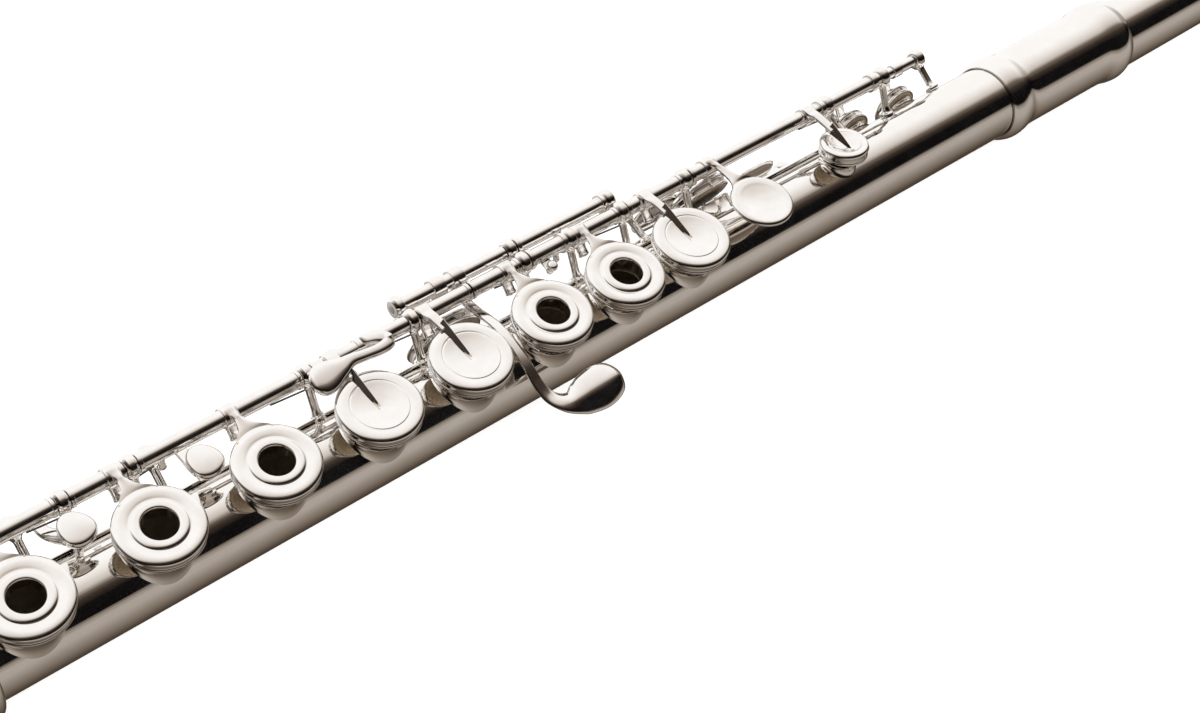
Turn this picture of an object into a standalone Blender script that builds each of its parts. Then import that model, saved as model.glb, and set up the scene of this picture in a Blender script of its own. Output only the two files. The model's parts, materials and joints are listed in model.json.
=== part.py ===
"""Concert flute with a C foot, split E and open-hole keys, as separate pieces with hinged keywork.

Metres, +Z up. +X runs along the bore to the crown, +Z is over the key tops and +Y faces the player.
Stations are distances from the stopper's face towards the foot. The keywork is built in frames that
sit on the bore's axis or on a rod's axis. The origin is under the flute's middle, at its lowest level.
"""

import math

import bpy
from mathutils import Matrix, Vector

# Tubes
TUBE_RADIUS = 0.0099
TUBE_WALL = 0.0004
SOCKET_CLEARANCE = 0.00012
SOCKET_WALL = 0.0006
TENON_LENGTH = 0.0145
BARREL_LENGTH = 0.052
BARREL_RING_WIDTH = 0.0095
BARREL_RING_RISE = 0.0018
FOOT_RING_RISE = 0.0025
FOOT_RING_WIDTH = 0.006
FOOT_GAP = 0.0005
RING_CHAMFER = 0.001
HEAD_RISE = 0.0003
HEAD_TAPER = 0.0010
HEAD_END = -0.040
CROWN_LENGTH = 0.018
TUBE_SIDES = 24

# Tone holes: each semitone's station is this length shortened by a twelfth of an octave at a time
SCALE_LENGTH = 0.65928
STOPPER_OFFSET = 0.0515
SMALL_C_SHARP_STEP = 13.98
TRILL_D_STEP = 15.26
TRILL_DS_STEP = 16.45
C_TOUCH_STEP = 12.19
GS_HOLE_SHIFT = 0.0063
FOOT_DS_SHIFT = 0.0035
HOLE_RADIUS = 0.0068
LEFT_HOLE_RADIUS = 0.0064
SMALL_HOLE_RADIUS = 0.0036
TRILL_HOLE_RADIUS = 0.0040
THUMB_HOLE_RADIUS = 0.0056
CHIMNEY_HEIGHT = 0.0014
CHIMNEY_WALL = 0.0004
HOLE_SIDES = 10
GS_HOLE_ANGLE = math.radians(90)
THUMB_HOLE_ANGLE = math.radians(75)
TRILL_HOLE_ANGLE = math.radians(105)
SMALL_HOLE_ANGLE = math.radians(12)

# Cups and pads
CUP_RADIUS = 0.0092
LEFT_CUP_RADIUS = 0.0091
SMALL_CUP_RADIUS = 0.0063
TRILL_CUP_RADIUS = 0.0061
THUMB_CUP_RADIUS = 0.0078
CUP_HEIGHT = 0.0036
CUP_WALL = 0.00045
CUP_SEAT = 0.0001
PAD_THICKNESS = 0.0023
PAD_CLEARANCE = 0.0002
FINGER_HOLE_RADIUS = 0.0038
FINGER_HOLE_WALL = 0.0007
CUP_SIDES = 14
C_TOUCH_RADIUS = 0.0072
OPEN_ANGLE = math.radians(9.0)
THUMB_OPEN_ANGLE = math.radians(5.0)

# Rods: places are (towards the player, up) from the bore's axis
MAIN_ROD = (TUBE_RADIUS + 0.0058, TUBE_RADIUS + 0.0029)
REAR_ROD = (TUBE_RADIUS + 0.0106, TUBE_RADIUS + 0.0016)
TRILL_ROD = (TUBE_RADIUS + 0.0084, TUBE_RADIUS - 0.0041)
THUMB_ROD = (TUBE_RADIUS + 0.0033, 0.0011 - TUBE_RADIUS)
FOOT_ROD = (-TUBE_RADIUS - 0.0056, TUBE_RADIUS + 0.0001)
HINGE_RADIUS = 0.0020
STEEL_RADIUS = 0.0010
BORE_CLEARANCE = 0.00015
TRILL_TUBE_RADIUS = 0.0015
TRILL_SHAFT_RADIUS = 0.00075
ROD_SIDES = 8
STALK_SIDES = 6
END_GAP = 0.0003

# Posts and ribs
POST_HEAD_RADIUS = 0.0024
POST_HEAD_WIDTH = 0.0028
POST_STALK_RADIUS = 0.0012
RIB_THICKNESS = 0.0008
RIB_WIDTH = 0.0028
RIB_CLEARANCE = 0.0001
RIB_END = 0.0015
RIB_ANGLE = math.radians(58)
TRILL_FOOT_ANGLE = math.radians(72)
THUMB_FOOT_ANGLE = math.radians(124)
FOOT_RIB_ANGLE = math.radians(-58)
LUG_ANGLE = math.radians(150)

# Arms and levers
ARM_THICKNESS = 0.0011
ARM_ROOT_WIDTH = 0.0030
ARM_FLARE_WIDTH = 0.0068
ARM_POINT_WIDTH = 0.0006
ARM_OFFSET = 0.0010
ARM_SINK = 0.0002
LEVER_THICKNESS = 0.0012
ROLLER_LENGTH = 0.0060
ROLLER_RADIUS = 0.0016
ROLLER_PIN_RADIUS = 0.0005

# Embouchure and head
EMBOUCHURE = 0.017
EMBOUCHURE_LENGTH = 0.0122
EMBOUCHURE_WIDTH = 0.0104
RISER_WALL = 0.0010
RISER_HEIGHT = 0.0052
PLATE_LENGTH = 0.058
PLATE_WIDTH = 0.027
PLATE_THICKNESS = 0.0009
CORK_LENGTH = 0.017
CORK_CLEARANCE = 0.00015
STOPPER_TRAVEL = 0.002
STOPPER_PLATE = 0.0012
SCREW_RADIUS = 0.0017

# The origin's place: where the stopper's face and the bore's axis are, measured from it
STOPPER_X = 0.2749
AXIS_Z = TUBE_RADIUS + FOOT_RING_RISE

SILVER = (0.86, 0.84, 0.81)
STEEL = (0.55, 0.55, 0.56)
FELT = (0.78, 0.66, 0.47)
CORK = (0.52, 0.36, 0.21)


def semitone(steps):
    """Station of the tone hole that many semitones above the lowest note."""
    return SCALE_LENGTH * 2 ** (-steps / 12) - STOPPER_OFFSET


FOOT_END = semitone(0)
LOW_C = semitone(1)
LOW_CS = semitone(2)
FOOT_DS = semitone(3) + FOOT_DS_SHIFT
KEY_D = semitone(4)
KEY_E = semitone(5)
KEY_F = semitone(6)
KEY_FS = semitone(7)
LOWER_G = semitone(8)
KEY_G = semitone(9)
KEY_A = semitone(10)
KEY_BB = semitone(11)
THUMB = semitone(12)
C_TOUCH = semitone(C_TOUCH_STEP)
SMALL_C_SHARP = semitone(SMALL_C_SHARP_STEP)
TRILL_D_HOLE = semitone(TRILL_D_STEP)
TRILL_DS_HOLE = semitone(TRILL_DS_STEP)
GS_HOLE = LOWER_G - GS_HOLE_SHIFT
G_SEAM = (KEY_G + LOWER_G) / 2
FS_SEAM = KEY_FS - 0.0070

# Posts along the main rod, each seated in the gap between two keys' hinge tubes
MAIN_POSTS = (
    TRILL_D_HOLE - 0.0060,
    SMALL_C_SHARP - 0.0060,
    KEY_BB - 0.0117,
    (KEY_BB + KEY_A) / 2 - 0.0016,
    KEY_A + 0.0042,
    KEY_G - 0.0040,
    LOWER_G + 0.0045,
    KEY_FS + 0.0080,
    KEY_E - 0.0030,
    KEY_E + 0.0126,
    KEY_D + 0.0075,
)
REAR_POSTS = (MAIN_POSTS[3], MAIN_POSTS[5], MAIN_POSTS[6])
TRILL_TUBE_POSTS = (TRILL_D_HOLE + 0.0090, MAIN_POSTS[3] - 0.0060, MAIN_POSTS[7] - 0.0110)
TRILL_TOUCHES = (KEY_F + 0.0118, KEY_E + 0.0136)
TRILL_SHAFT_POSTS = (TRILL_TOUCHES[0] + 0.0062, TRILL_TOUCHES[1] + 0.0080)
TRILL_END_POST = TRILL_DS_HOLE - 0.0085
THUMB_POSTS = (SMALL_C_SHARP + 0.0005, THUMB + 0.0200)
FOOT_POSTS = (FOOT_DS - 0.0040, FOOT_DS + 0.0115, LOW_CS + 0.0125, LOW_C + 0.0125)

BODY_SHOULDER = KEY_D + 0.0097
BARREL_FOOT = TRILL_DS_HOLE - 0.0225
BARREL_TOP = BARREL_FOOT - BARREL_LENGTH
BODY_TOP = BARREL_FOOT - 0.0100
HEAD_TENON = BODY_TOP - 0.0030
RING_RADIUS = TUBE_RADIUS + BARREL_RING_RISE
HEAD_RADIUS = TUBE_RADIUS + HEAD_RISE
HEAD_END_RADIUS = HEAD_RADIUS - HEAD_TAPER
CHIMNEY_RIM = TUBE_RADIUS + CHIMNEY_HEIGHT
CUP_LID = PAD_CLEARANCE * 2 + PAD_THICKNESS
BORE_RADIUS = TUBE_RADIUS - TUBE_WALL
SOCKET_RADIUS = TUBE_RADIUS + SOCKET_CLEARANCE


# ---- meshes ----
def turned(profile, sides, frame, ring=False):
    """(radius, height) points spun about the frame's Z. A ring's profile is a loop off the axis."""
    points = []
    rows = []
    for radius, height in profile:
        if radius == 0:
            rows.append([len(points)] * sides)
            points.append(frame @ Vector((0, 0, height)))
            continue
        rows.append(list(range(len(points), len(points) + sides)))
        for side in range(sides):
            turn = 2 * math.pi * (side + 0.5) / sides
            spot = Vector((radius * math.cos(turn), radius * math.sin(turn), height))
            points.append(frame @ spot)
    faces = []
    bands = list(zip(rows, rows[1:] + rows[:1])) if ring else list(zip(rows, rows[1:]))
    for upper, lower in bands:
        for side in range(sides):
            after = (side + 1) % sides
            corners = (upper[side], upper[after], lower[after], lower[side])
            face = list(dict.fromkeys(corners))
            if len(face) > 2:
                faces.append(face[::-1])
    return points, faces


def lofted(loops):
    """A solid through closed loops of equally many points, with flat ends."""
    count = len(loops[0])
    points = [point for loop in loops for point in loop]
    faces = [list(range(count))[::-1], list(range(len(points) - count, len(points)))]
    for row in range(len(loops) - 1):
        for side in range(count):
            after = (side + 1) % count
            low = row * count
            faces.append([low + side, low + after, low + count + after, low + count + side])
    return points, faces


def strip(path, widths, thickness, across):
    """A bar of rectangular section along a path: one width for each point, measured along across."""
    across = Vector(across).normalized()
    path = [Vector(point) for point in path]
    loops = []
    for place, point in enumerate(path):
        before = path[max(place - 1, 0)]
        after = path[min(place + 1, len(path) - 1)]
        up = (after - before).cross(across).normalized() * thickness / 2
        side = across * widths[place] / 2
        loops.append([point - side - up, point + side - up, point + side + up, point - side + up])
    return lofted(loops)


def along_x(start, end, place=(0, 0)):
    """Frame whose Z runs from one station to another, at a (y, z) place."""
    turn = Matrix.Rotation(-math.pi / 2, 4, "Y")
    return Matrix.Translation((-min(start, end), place[0], place[1])) @ turn


def towards_crown(station):
    """Frame on the bore's axis whose Z points to the crown from a station."""
    return Matrix.Translation((-station, 0, 0)) @ Matrix.Rotation(math.pi / 2, 4, "Y")


def rod(start, end, radius, place=(0, 0), sides=ROD_SIDES):
    """A solid cylinder between two stations."""
    length = abs(end - start)
    profile = [(0, length), (radius, length), (radius, 0), (0, 0)]
    return turned(profile, sides, along_x(start, end, place))


def radial(station, angle, radius=0.0):
    """Frame on the bore's axis whose Z points out at an angle from the top towards the player."""
    return (
        Matrix.Translation((-station, 0, 0))
        @ Matrix.Rotation(-angle, 4, "X")
        @ Matrix.Translation((0, 0, radius))
    )


def spun(radius, bottom, top, frame, sides):
    """A solid cylinder between two heights of a frame."""
    return turned([(0, top), (radius, top), (radius, bottom), (0, bottom)], sides, frame)


def moved(shape, offset):
    points, faces = shape
    return [point + Vector(offset) for point in points], faces


def oval(length, width, low, high, station, sides=20):
    """An upright oval prism over the bore's axis."""
    loops = []
    for height in (low, high):
        loop = []
        for side in range(sides):
            turn = 2 * math.pi * side / sides
            x = -station + length / 2 * math.cos(turn)
            loop.append(Vector((x, width / 2 * math.sin(turn), height)))
        loops.append(loop)
    return lofted(loops)


# ---- objects ----
def clear_scene():
    for old in list(bpy.data.objects):
        bpy.data.objects.remove(old, do_unlink=True)


def material(name, colour, roughness, metallic):
    made = bpy.data.materials.new(name)
    made.use_nodes = True
    shader = made.node_tree.nodes["Principled BSDF"]
    shader.inputs["Base Color"].default_value = (*colour, 1)
    shader.inputs["Roughness"].default_value = roughness
    shader.inputs["Metallic"].default_value = metallic
    return made


def empty(name, parent=None, spot=(0, 0, 0), tilt=0.0):
    made = bpy.data.objects.new(name, None)
    made.empty_display_size = 0.004
    made.location = spot
    made.rotation_euler = (tilt, 0, 0)
    made.parent = parent
    bpy.context.scene.collection.objects.link(made)
    return made


def mesh_object(name, shape, parent):
    data = bpy.data.meshes.new(name)
    data.from_pydata([tuple(point) for point in shape[0]], [], shape[1])
    data.validate()
    data.shade_smooth()
    data.set_sharp_from_angle(angle=math.radians(35))
    made = bpy.data.objects.new(name, data)
    made.parent = parent
    bpy.context.scene.collection.objects.link(made)
    return made


def piece(name, finish, parent, shape, adds=(), cuts=(), solver="EXACT"):
    """One named piece: its first shape, with others joined on and then cutters taken away."""
    colour, roughness, metallic = finish
    made = mesh_object(name, shape, parent)
    made.data.materials.append(material(name, colour, roughness, metallic))
    for operation, shapes in (("UNION", adds), ("DIFFERENCE", cuts)):
        for number, other in enumerate(shapes):
            helper = mesh_object(f"{name}.{operation.lower()}.{number}", other, parent)
            helper.hide_render = True
            helper.display_type = "WIRE"
            step = made.modifiers.new(helper.name, "BOOLEAN")
            step.operation = operation
            step.solver = solver
            step.object = helper
    return made


POLISHED_SILVER = (SILVER, 0.12, 1.0)
POLISHED_STEEL = (STEEL, 0.25, 1.0)
PAD_SKIN = (FELT, 0.6, 0.0)
CORK_FINISH = (CORK, 0.8, 0.0)


# ---- cups and keys ----
def cup_profile(radius, pierced):
    """A pad cup's section, from its seat plane up; a pierced cup has a finger hole's tube in it."""
    inner = radius - CUP_WALL
    rim = CUP_SEAT + 0.0004
    outside = [(radius * 0.88, CUP_HEIGHT), (radius, CUP_HEIGHT - 0.0006), (radius, rim), (inner, rim)]
    if not pierced:
        return [(0, CUP_HEIGHT - 0.0003), *outside, (inner, CUP_LID), (0, CUP_LID)]
    tube = FINGER_HOLE_RADIUS + FINGER_HOLE_WALL
    ring = [(FINGER_HOLE_RADIUS, CUP_HEIGHT), (tube, CUP_HEIGHT + 0.0002)]
    return [*ring, *outside, (inner, CUP_LID), (tube, CUP_LID), (tube, rim), (FINGER_HOLE_RADIUS, rim)]


def cup(radius, frame, pierced=False):
    return turned(cup_profile(radius, pierced), CUP_SIDES, frame, ring=pierced)


def pad(name, hinge, radius, frame, pierced=False):
    """A pad held in its cup, with the finger hole's tube through it where the cup is pierced."""
    outer = radius - CUP_WALL - PAD_CLEARANCE
    low = CUP_SEAT
    high = CUP_SEAT + PAD_THICKNESS
    profile = [(0, high), (outer, high), (outer, low), (0, low)]
    if pierced:
        inner = FINGER_HOLE_RADIUS + FINGER_HOLE_WALL + PAD_CLEARANCE
        profile = [(inner, high), (outer, high), (outer, low), (inner, low)]
    piece(name, PAD_SKIN, hinge, turned(profile, CUP_SIDES, frame, ring=pierced))


def hinge_empty(name, station, place, tilt):
    return empty(f"{name}_hinge", flute_axis, (-station, place[0], place[1]), tilt)


def cup_frame(place, shift, angle=0.0):
    """A tone hole's rim plane as a hinge sees it, when the hinge lies at a (y, z) place."""
    return Matrix.Translation((0, -place[0], -place[1])) @ radial(shift, angle, CHIMNEY_RIM)


def hinge_tube(low, high, station, radius=HINGE_RADIUS):
    """The tube that a key turns on, between two stations, seen from the key's own station."""
    return rod(low + END_GAP - station, high - END_GAP - station, radius)


def hinge_bore(low, high, station, radius=STEEL_RADIUS):
    return rod(low - 0.002 - station, high + 0.002 - station, radius + BORE_CLEARANCE)


def flared_arm(shift, reach, lift):
    """Arm of an open-hole cup: from the hinge tube's top, widening like a tail onto the cup's edge."""
    root = shift + ARM_OFFSET
    path = [(-root, -0.0008, 0.0015), (-root, -0.0030, lift * 0.8), (-shift, -reach, lift)]
    return strip(path, [ARM_ROOT_WIDTH, ARM_ROOT_WIDTH, ARM_FLARE_WIDTH], ARM_THICKNESS, (1, 0, 0))


def pointed_arm(shift, reach, lift):
    """Arm of a plain cup: from the hinge tube's top to a point at the cup's centre."""
    root = shift + ARM_OFFSET
    path = [(-root, -0.0008, 0.0015), (-root, -0.0040, lift), (-shift, -reach, lift - 2 * ARM_SINK)]
    widths = [ARM_ROOT_WIDTH, ARM_ROOT_WIDTH, ARM_POINT_WIDTH]
    return strip(path, widths, ARM_THICKNESS, (1, 0, 0))


def lug(station, angle, reach=0.0042, width=0.0020):
    """A small catch for a spring or an adjusting lever, standing out from a hinge tube."""
    turn = Matrix.Rotation(-angle, 4, "X")
    path = [turn @ Vector((-station, 0, out)) for out in (0.0014, reach)]
    return strip(path, [width, width * 0.7], LEVER_THICKNESS, (1, 0, 0))


def main_key(name, station, low, high, cup_radius, style, lugs=()):
    """A key on the main rod over one tone hole on the flute's top."""
    pierced = style == "open"
    hinge = hinge_empty(name, station, MAIN_ROD, -OPEN_ANGLE)
    frame = cup_frame(MAIN_ROD, 0)
    lift = CHIMNEY_RIM + CUP_HEIGHT - MAIN_ROD[1] + ARM_SINK
    if pierced:
        arm = flared_arm(0, MAIN_ROD[0] - cup_radius * 0.80, lift)
    else:
        arm = pointed_arm(0, MAIN_ROD[0], lift)
    adds = [cup(cup_radius, frame, pierced), arm]
    adds += [lug(at - station, turn) for at, turn in lugs]
    tube = hinge_tube(low, high, station)
    piece(name, POLISHED_SILVER, hinge, tube, adds, [hinge_bore(low, high, station)])
    pad(f"pad_{name[4:]}", hinge, cup_radius, frame, pierced)


# ---- the tubes ----
def tube_with_holes(name, parent, outline, bore, chimneys):
    """A turned tube with drawn tone holes: chimneys joined on, then bores and holes cut through."""
    adds = []
    holes = []
    for station, angle, radius in chimneys:
        frame = radial(station, angle)
        adds.append(spun(radius + CHIMNEY_WALL, 0.004, CHIMNEY_RIM, frame, HOLE_SIDES))
        holes.append(spun(radius, 0.004, CHIMNEY_RIM + 0.002, frame, HOLE_SIDES))
    piece(name, POLISHED_SILVER, parent, outline, adds, [*bore, *holes], solver="MANIFOLD")


def body_tubes():
    chimneys = [
        (KEY_D, 0, HOLE_RADIUS),
        (KEY_E, 0, HOLE_RADIUS),
        (KEY_F, 0, HOLE_RADIUS),
        (KEY_FS, 0, HOLE_RADIUS),
        (LOWER_G, 0, HOLE_RADIUS),
        (KEY_G, 0, HOLE_RADIUS),
        (KEY_A, 0, LEFT_HOLE_RADIUS),
        (KEY_BB, 0, LEFT_HOLE_RADIUS),
        (THUMB, THUMB_HOLE_ANGLE, THUMB_HOLE_RADIUS),
        (GS_HOLE, GS_HOLE_ANGLE, HOLE_RADIUS),
        (SMALL_C_SHARP, SMALL_HOLE_ANGLE, SMALL_HOLE_RADIUS),
        (TRILL_D_HOLE, TRILL_HOLE_ANGLE, TRILL_HOLE_RADIUS),
        (TRILL_DS_HOLE, TRILL_HOLE_ANGLE, TRILL_HOLE_RADIUS),
    ]
    end = BODY_SHOULDER + TENON_LENGTH
    outline = rod(BODY_TOP, end, TUBE_RADIUS, sides=TUBE_SIDES)
    bore = rod(BODY_TOP - 0.01, end + 0.01, BORE_RADIUS, sides=TUBE_SIDES)
    tube_with_holes("body_tube", flute_axis, outline, [bore], chimneys)

    ring = BARREL_RING_WIDTH
    length = BARREL_FOOT - BARREL_TOP
    outer = SOCKET_RADIUS + SOCKET_WALL
    profile = [
        (SOCKET_RADIUS, length),
        (RING_RADIUS - RING_CHAMFER, length),
        (RING_RADIUS, length - RING_CHAMFER),
        (RING_RADIUS, length - 3 * RING_CHAMFER),
        (outer, length - ring),
        (outer, ring),
        (RING_RADIUS, 3 * RING_CHAMFER),
        (RING_RADIUS, RING_CHAMFER),
        (RING_RADIUS - RING_CHAMFER, 0),
        (SOCKET_RADIUS, 0),
    ]
    shape = turned(profile, TUBE_SIDES, along_x(BARREL_TOP, BARREL_FOOT), ring=True)
    piece("barrel", POLISHED_SILVER, flute_axis, shape)


def foot_tube():
    start = BODY_SHOULDER + FOOT_GAP
    length = FOOT_END - start
    socket = TENON_LENGTH + 0.001
    profile = [
        (0, length),
        (RING_RADIUS, length),
        (RING_RADIUS, length - 0.004),
        (TUBE_RADIUS, length - 0.006),
        (TUBE_RADIUS, socket + 0.002),
        (SOCKET_RADIUS + SOCKET_WALL, socket),
        (SOCKET_RADIUS + SOCKET_WALL, FOOT_RING_WIDTH + 0.002),
        (AXIS_Z, FOOT_RING_WIDTH),
        (AXIS_Z, RING_CHAMFER),
        (AXIS_Z - RING_CHAMFER, 0),
        (0, 0),
    ]
    outline = turned(profile, TUBE_SIDES, along_x(start, FOOT_END))
    cuts = [
        rod(start - 0.01, start + socket, SOCKET_RADIUS, sides=TUBE_SIDES),
        rod(start, FOOT_END + 0.01, BORE_RADIUS, sides=TUBE_SIDES),
    ]
    holes = [(station, 0, HOLE_RADIUS) for station in (FOOT_DS, LOW_CS, LOW_C)]
    tube_with_holes("foot_tube", foot_axis, outline, cuts, holes)


# ---- posts and ribs ----
def bar_between(start, end, radius):
    """A solid cylinder between two points."""
    start, end = Vector(start), Vector(end)
    turn = (end - start).to_track_quat("Z", "Y").to_matrix().to_4x4()
    return spun(radius, 0, (end - start).length, Matrix.Translation(start) @ turn, STALK_SIDES)


def post(station, place, foot_angle, head_radius=POST_HEAD_RADIUS):
    """A stalk from the tube's surface out to a rod's place, with a short barrel for a head."""
    foot = radial(station, foot_angle) @ Vector((0, 0, TUBE_RADIUS))
    half = POST_HEAD_WIDTH / 2
    head = rod(station - half, station + half, head_radius, place)
    return [bar_between(foot, (-station, *place), POST_STALK_RADIUS), head]


def steel_bore(low, high, place, radius=STEEL_RADIUS):
    return rod(low - 0.004, high + 0.004, radius + BORE_CLEARANCE, place)


def rib(name, parent, foot_angle, low, high, posts, bores):
    """A strap lying on the tube with its posts, pierced for the rods that they carry."""
    seat = TUBE_RADIUS + RIB_CLEARANCE
    turn = radial(0, foot_angle)
    path = [turn @ Vector((-at, 0, seat + RIB_THICKNESS / 2)) for at in (low, high)]
    across = turn.to_3x3() @ Vector((0, 1, 0))
    strap = strip(path, [RIB_WIDTH] * 2, RIB_THICKNESS + 0.0006, across)
    adds = [shape for group in posts for shape in group]
    saddle = rod(low - 0.02, high + 0.02, seat, sides=TUBE_SIDES)
    piece(name, POLISHED_SILVER, parent, strap, adds, [saddle, *bores], solver="MANIFOLD")


def main_post(station):
    return post(station, MAIN_ROD, RIB_ANGLE)


def rear_branch(station):
    """A neck that carries the rear rod's head on one of the main posts."""
    half = POST_HEAD_WIDTH / 2
    head = rod(station - half, station + half, POST_HEAD_RADIUS, REAR_ROD)
    return [head, bar_between((-station, *MAIN_ROD), (-station, *REAR_ROD), POST_STALK_RADIUS)]


def trill_post(station):
    return post(station, TRILL_ROD, RIB_ANGLE)


def ribs():
    main = MAIN_POSTS
    past_gs = GS_HOLE + HOLE_RADIUS + 0.0008
    before_gs = GS_HOLE - HOLE_RADIUS - 0.0008
    past_thumb = THUMB + THUMB_HOLE_RADIUS + 0.0008
    before_thumb = THUMB - THUMB_HOLE_RADIUS - 0.0008
    first, last = main[0], main[-1]
    main_bore = steel_bore(first, last, MAIN_ROD)
    rear_bore = steel_bore(REAR_POSTS[0], REAR_POSTS[-1], REAR_ROD)
    tube_bore = steel_bore(TRILL_TUBE_POSTS[0], TRILL_TUBE_POSTS[-1], TRILL_ROD, TRILL_TUBE_RADIUS)
    shaft_bore = steel_bore(TRILL_SHAFT_POSTS[0], TRILL_SHAFT_POSTS[-1], TRILL_ROD, TRILL_SHAFT_RADIUS)

    rib("end_post", flute_axis, RIB_ANGLE, first - RIB_END, first + RIB_END, [main_post(first)],
        [main_bore])
    rib("rib_upper", flute_axis, RIB_ANGLE, TRILL_TUBE_POSTS[0] - RIB_END, before_thumb,
        [main_post(main[1]), trill_post(TRILL_TUBE_POSTS[0])], [main_bore, tube_bore])
    rib("rib_middle", flute_axis, RIB_ANGLE, past_thumb, before_gs,
        [*[main_post(spot) for spot in main[2:6]], *[rear_branch(spot) for spot in REAR_POSTS[:2]],
         trill_post(TRILL_TUBE_POSTS[1])], [main_bore, rear_bore, tube_bore])
    rib("rib_lower", flute_axis, RIB_ANGLE, past_gs, last + RIB_END,
        [*[main_post(spot) for spot in main[6:]], rear_branch(REAR_POSTS[2]),
         *[trill_post(spot) for spot in (TRILL_TUBE_POSTS[2], *TRILL_SHAFT_POSTS)]],
        [main_bore, rear_bore, tube_bore, shaft_bore])
    rib("trill_end_post", flute_axis, TRILL_FOOT_ANGLE, TRILL_END_POST - RIB_END,
        TRILL_END_POST + RIB_END, [post(TRILL_END_POST, TRILL_ROD, TRILL_FOOT_ANGLE)],
        [steel_bore(TRILL_END_POST, TRILL_END_POST, TRILL_ROD, TRILL_SHAFT_RADIUS)])
    rib("thumb_rib", flute_axis, THUMB_FOOT_ANGLE, THUMB_POSTS[0] - RIB_END, THUMB_POSTS[1] + RIB_END,
        [post(spot, THUMB_ROD, THUMB_FOOT_ANGLE) for spot in THUMB_POSTS],
        [steel_bore(*THUMB_POSTS, THUMB_ROD)])
    rib("foot_rib", foot_axis, FOOT_RIB_ANGLE, FOOT_POSTS[0] - RIB_END, FOOT_POSTS[-1] + RIB_END,
        [post(spot, FOOT_ROD, FOOT_RIB_ANGLE) for spot in FOOT_POSTS],
        [steel_bore(FOOT_POSTS[0], FOOT_POSTS[-1], FOOT_ROD)])


def steels():
    """The steels that the hinge tubes turn on, each held in its row of post heads."""
    half = POST_HEAD_WIDTH / 2
    join = MAIN_POSTS[6]
    rows = (
        ("steel_upper", flute_axis, MAIN_POSTS[0] - half, join - END_GAP / 2, MAIN_ROD),
        ("steel_lower", flute_axis, join + END_GAP / 2, MAIN_POSTS[-1] + half, MAIN_ROD),
        ("steel_rear", flute_axis, REAR_POSTS[0] - half, REAR_POSTS[-1] + half, REAR_ROD),
        ("steel_thumb", flute_axis, THUMB_POSTS[0] - half, THUMB_POSTS[1] + half, THUMB_ROD),
        ("steel_foot", foot_axis, FOOT_POSTS[0] - half, FOOT_POSTS[-1] + half, FOOT_ROD),
    )
    for name, parent, low, high, place in rows:
        piece(name, POLISHED_STEEL, parent, rod(low, high, STEEL_RADIUS, place))


# ---- the keys ----
def main_keys():
    half = POST_HEAD_WIDTH / 2
    posts = MAIN_POSTS
    main_key("key_bb", KEY_BB, posts[2] + half, posts[3] - half, LEFT_CUP_RADIUS, "plain",
             [(KEY_BB + 0.0060, LUG_ANGLE)])
    main_key("key_a", KEY_A, posts[3] + half, posts[4] - half, LEFT_CUP_RADIUS, "open",
             [(KEY_A - 0.0060, LUG_ANGLE)])
    main_key("key_g", KEY_G, posts[5] + half, G_SEAM, LEFT_CUP_RADIUS, "open",
             [(KEY_G + 0.0070, LUG_ANGLE)])
    main_key("key_lower_g", LOWER_G, G_SEAM, posts[6] - half, CUP_RADIUS, "plain",
             [(LOWER_G - 0.0010, -LUG_ANGLE)])
    main_key("key_f_sharp", KEY_FS, FS_SEAM, posts[7] - half, CUP_RADIUS, "plain",
             [(KEY_FS + 0.0050, LUG_ANGLE)])
    main_key("key_f", KEY_F, posts[7] + half, posts[8] - half, CUP_RADIUS, "open",
             [(KEY_F - 0.0060, LUG_ANGLE), (KEY_F + 0.0180, -LUG_ANGLE)])
    main_key("key_e", KEY_E, posts[8] + half, posts[9] - half, CUP_RADIUS, "open",
             [(KEY_E + 0.0070, LUG_ANGLE)])
    main_key("key_d", KEY_D, posts[9] + half, posts[10] - half, CUP_RADIUS, "open",
             [(KEY_D - 0.0060, LUG_ANGLE), (KEY_D + 0.0040, -LUG_ANGLE)])


def c_sharp_key():
    """The small cup and the round touch that the first finger presses, on one long hinge tube."""
    half = POST_HEAD_WIDTH / 2
    low, high = MAIN_POSTS[1] + half, MAIN_POSTS[2] - half
    station = SMALL_C_SHARP
    hinge = hinge_empty("key_c_sharp", station, MAIN_ROD, -OPEN_ANGLE)
    frame = cup_frame(MAIN_ROD, 0, SMALL_HOLE_ANGLE)
    lift = CHIMNEY_RIM + CUP_HEIGHT - MAIN_ROD[1] + ARM_SINK
    touch_frame = cup_frame(MAIN_ROD, C_TOUCH - station) @ Matrix.Translation((0, -0.0006, 0.0018))
    edge = C_TOUCH_RADIUS
    disc = [(0, 0.0020), (edge * 0.9, 0.0022), (edge, 0.0016), (edge, 0.0004), (edge * 0.85, 0), (0, 0)]
    adds = [
        cup(SMALL_CUP_RADIUS, frame),
        turned(disc, CUP_SIDES, touch_frame),
        pointed_arm(0, MAIN_ROD[0] - 0.0030, lift),
        flared_arm(C_TOUCH - station + 0.0015, MAIN_ROD[0] - edge * 0.6, lift),
        lug(0.0160, LUG_ANGLE),
    ]
    tube = hinge_tube(low, high, station)
    piece("key_c_sharp", POLISHED_SILVER, hinge, tube, adds, [hinge_bore(low, high, station)])
    pad("pad_c_sharp", hinge, SMALL_CUP_RADIUS, frame)


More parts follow.
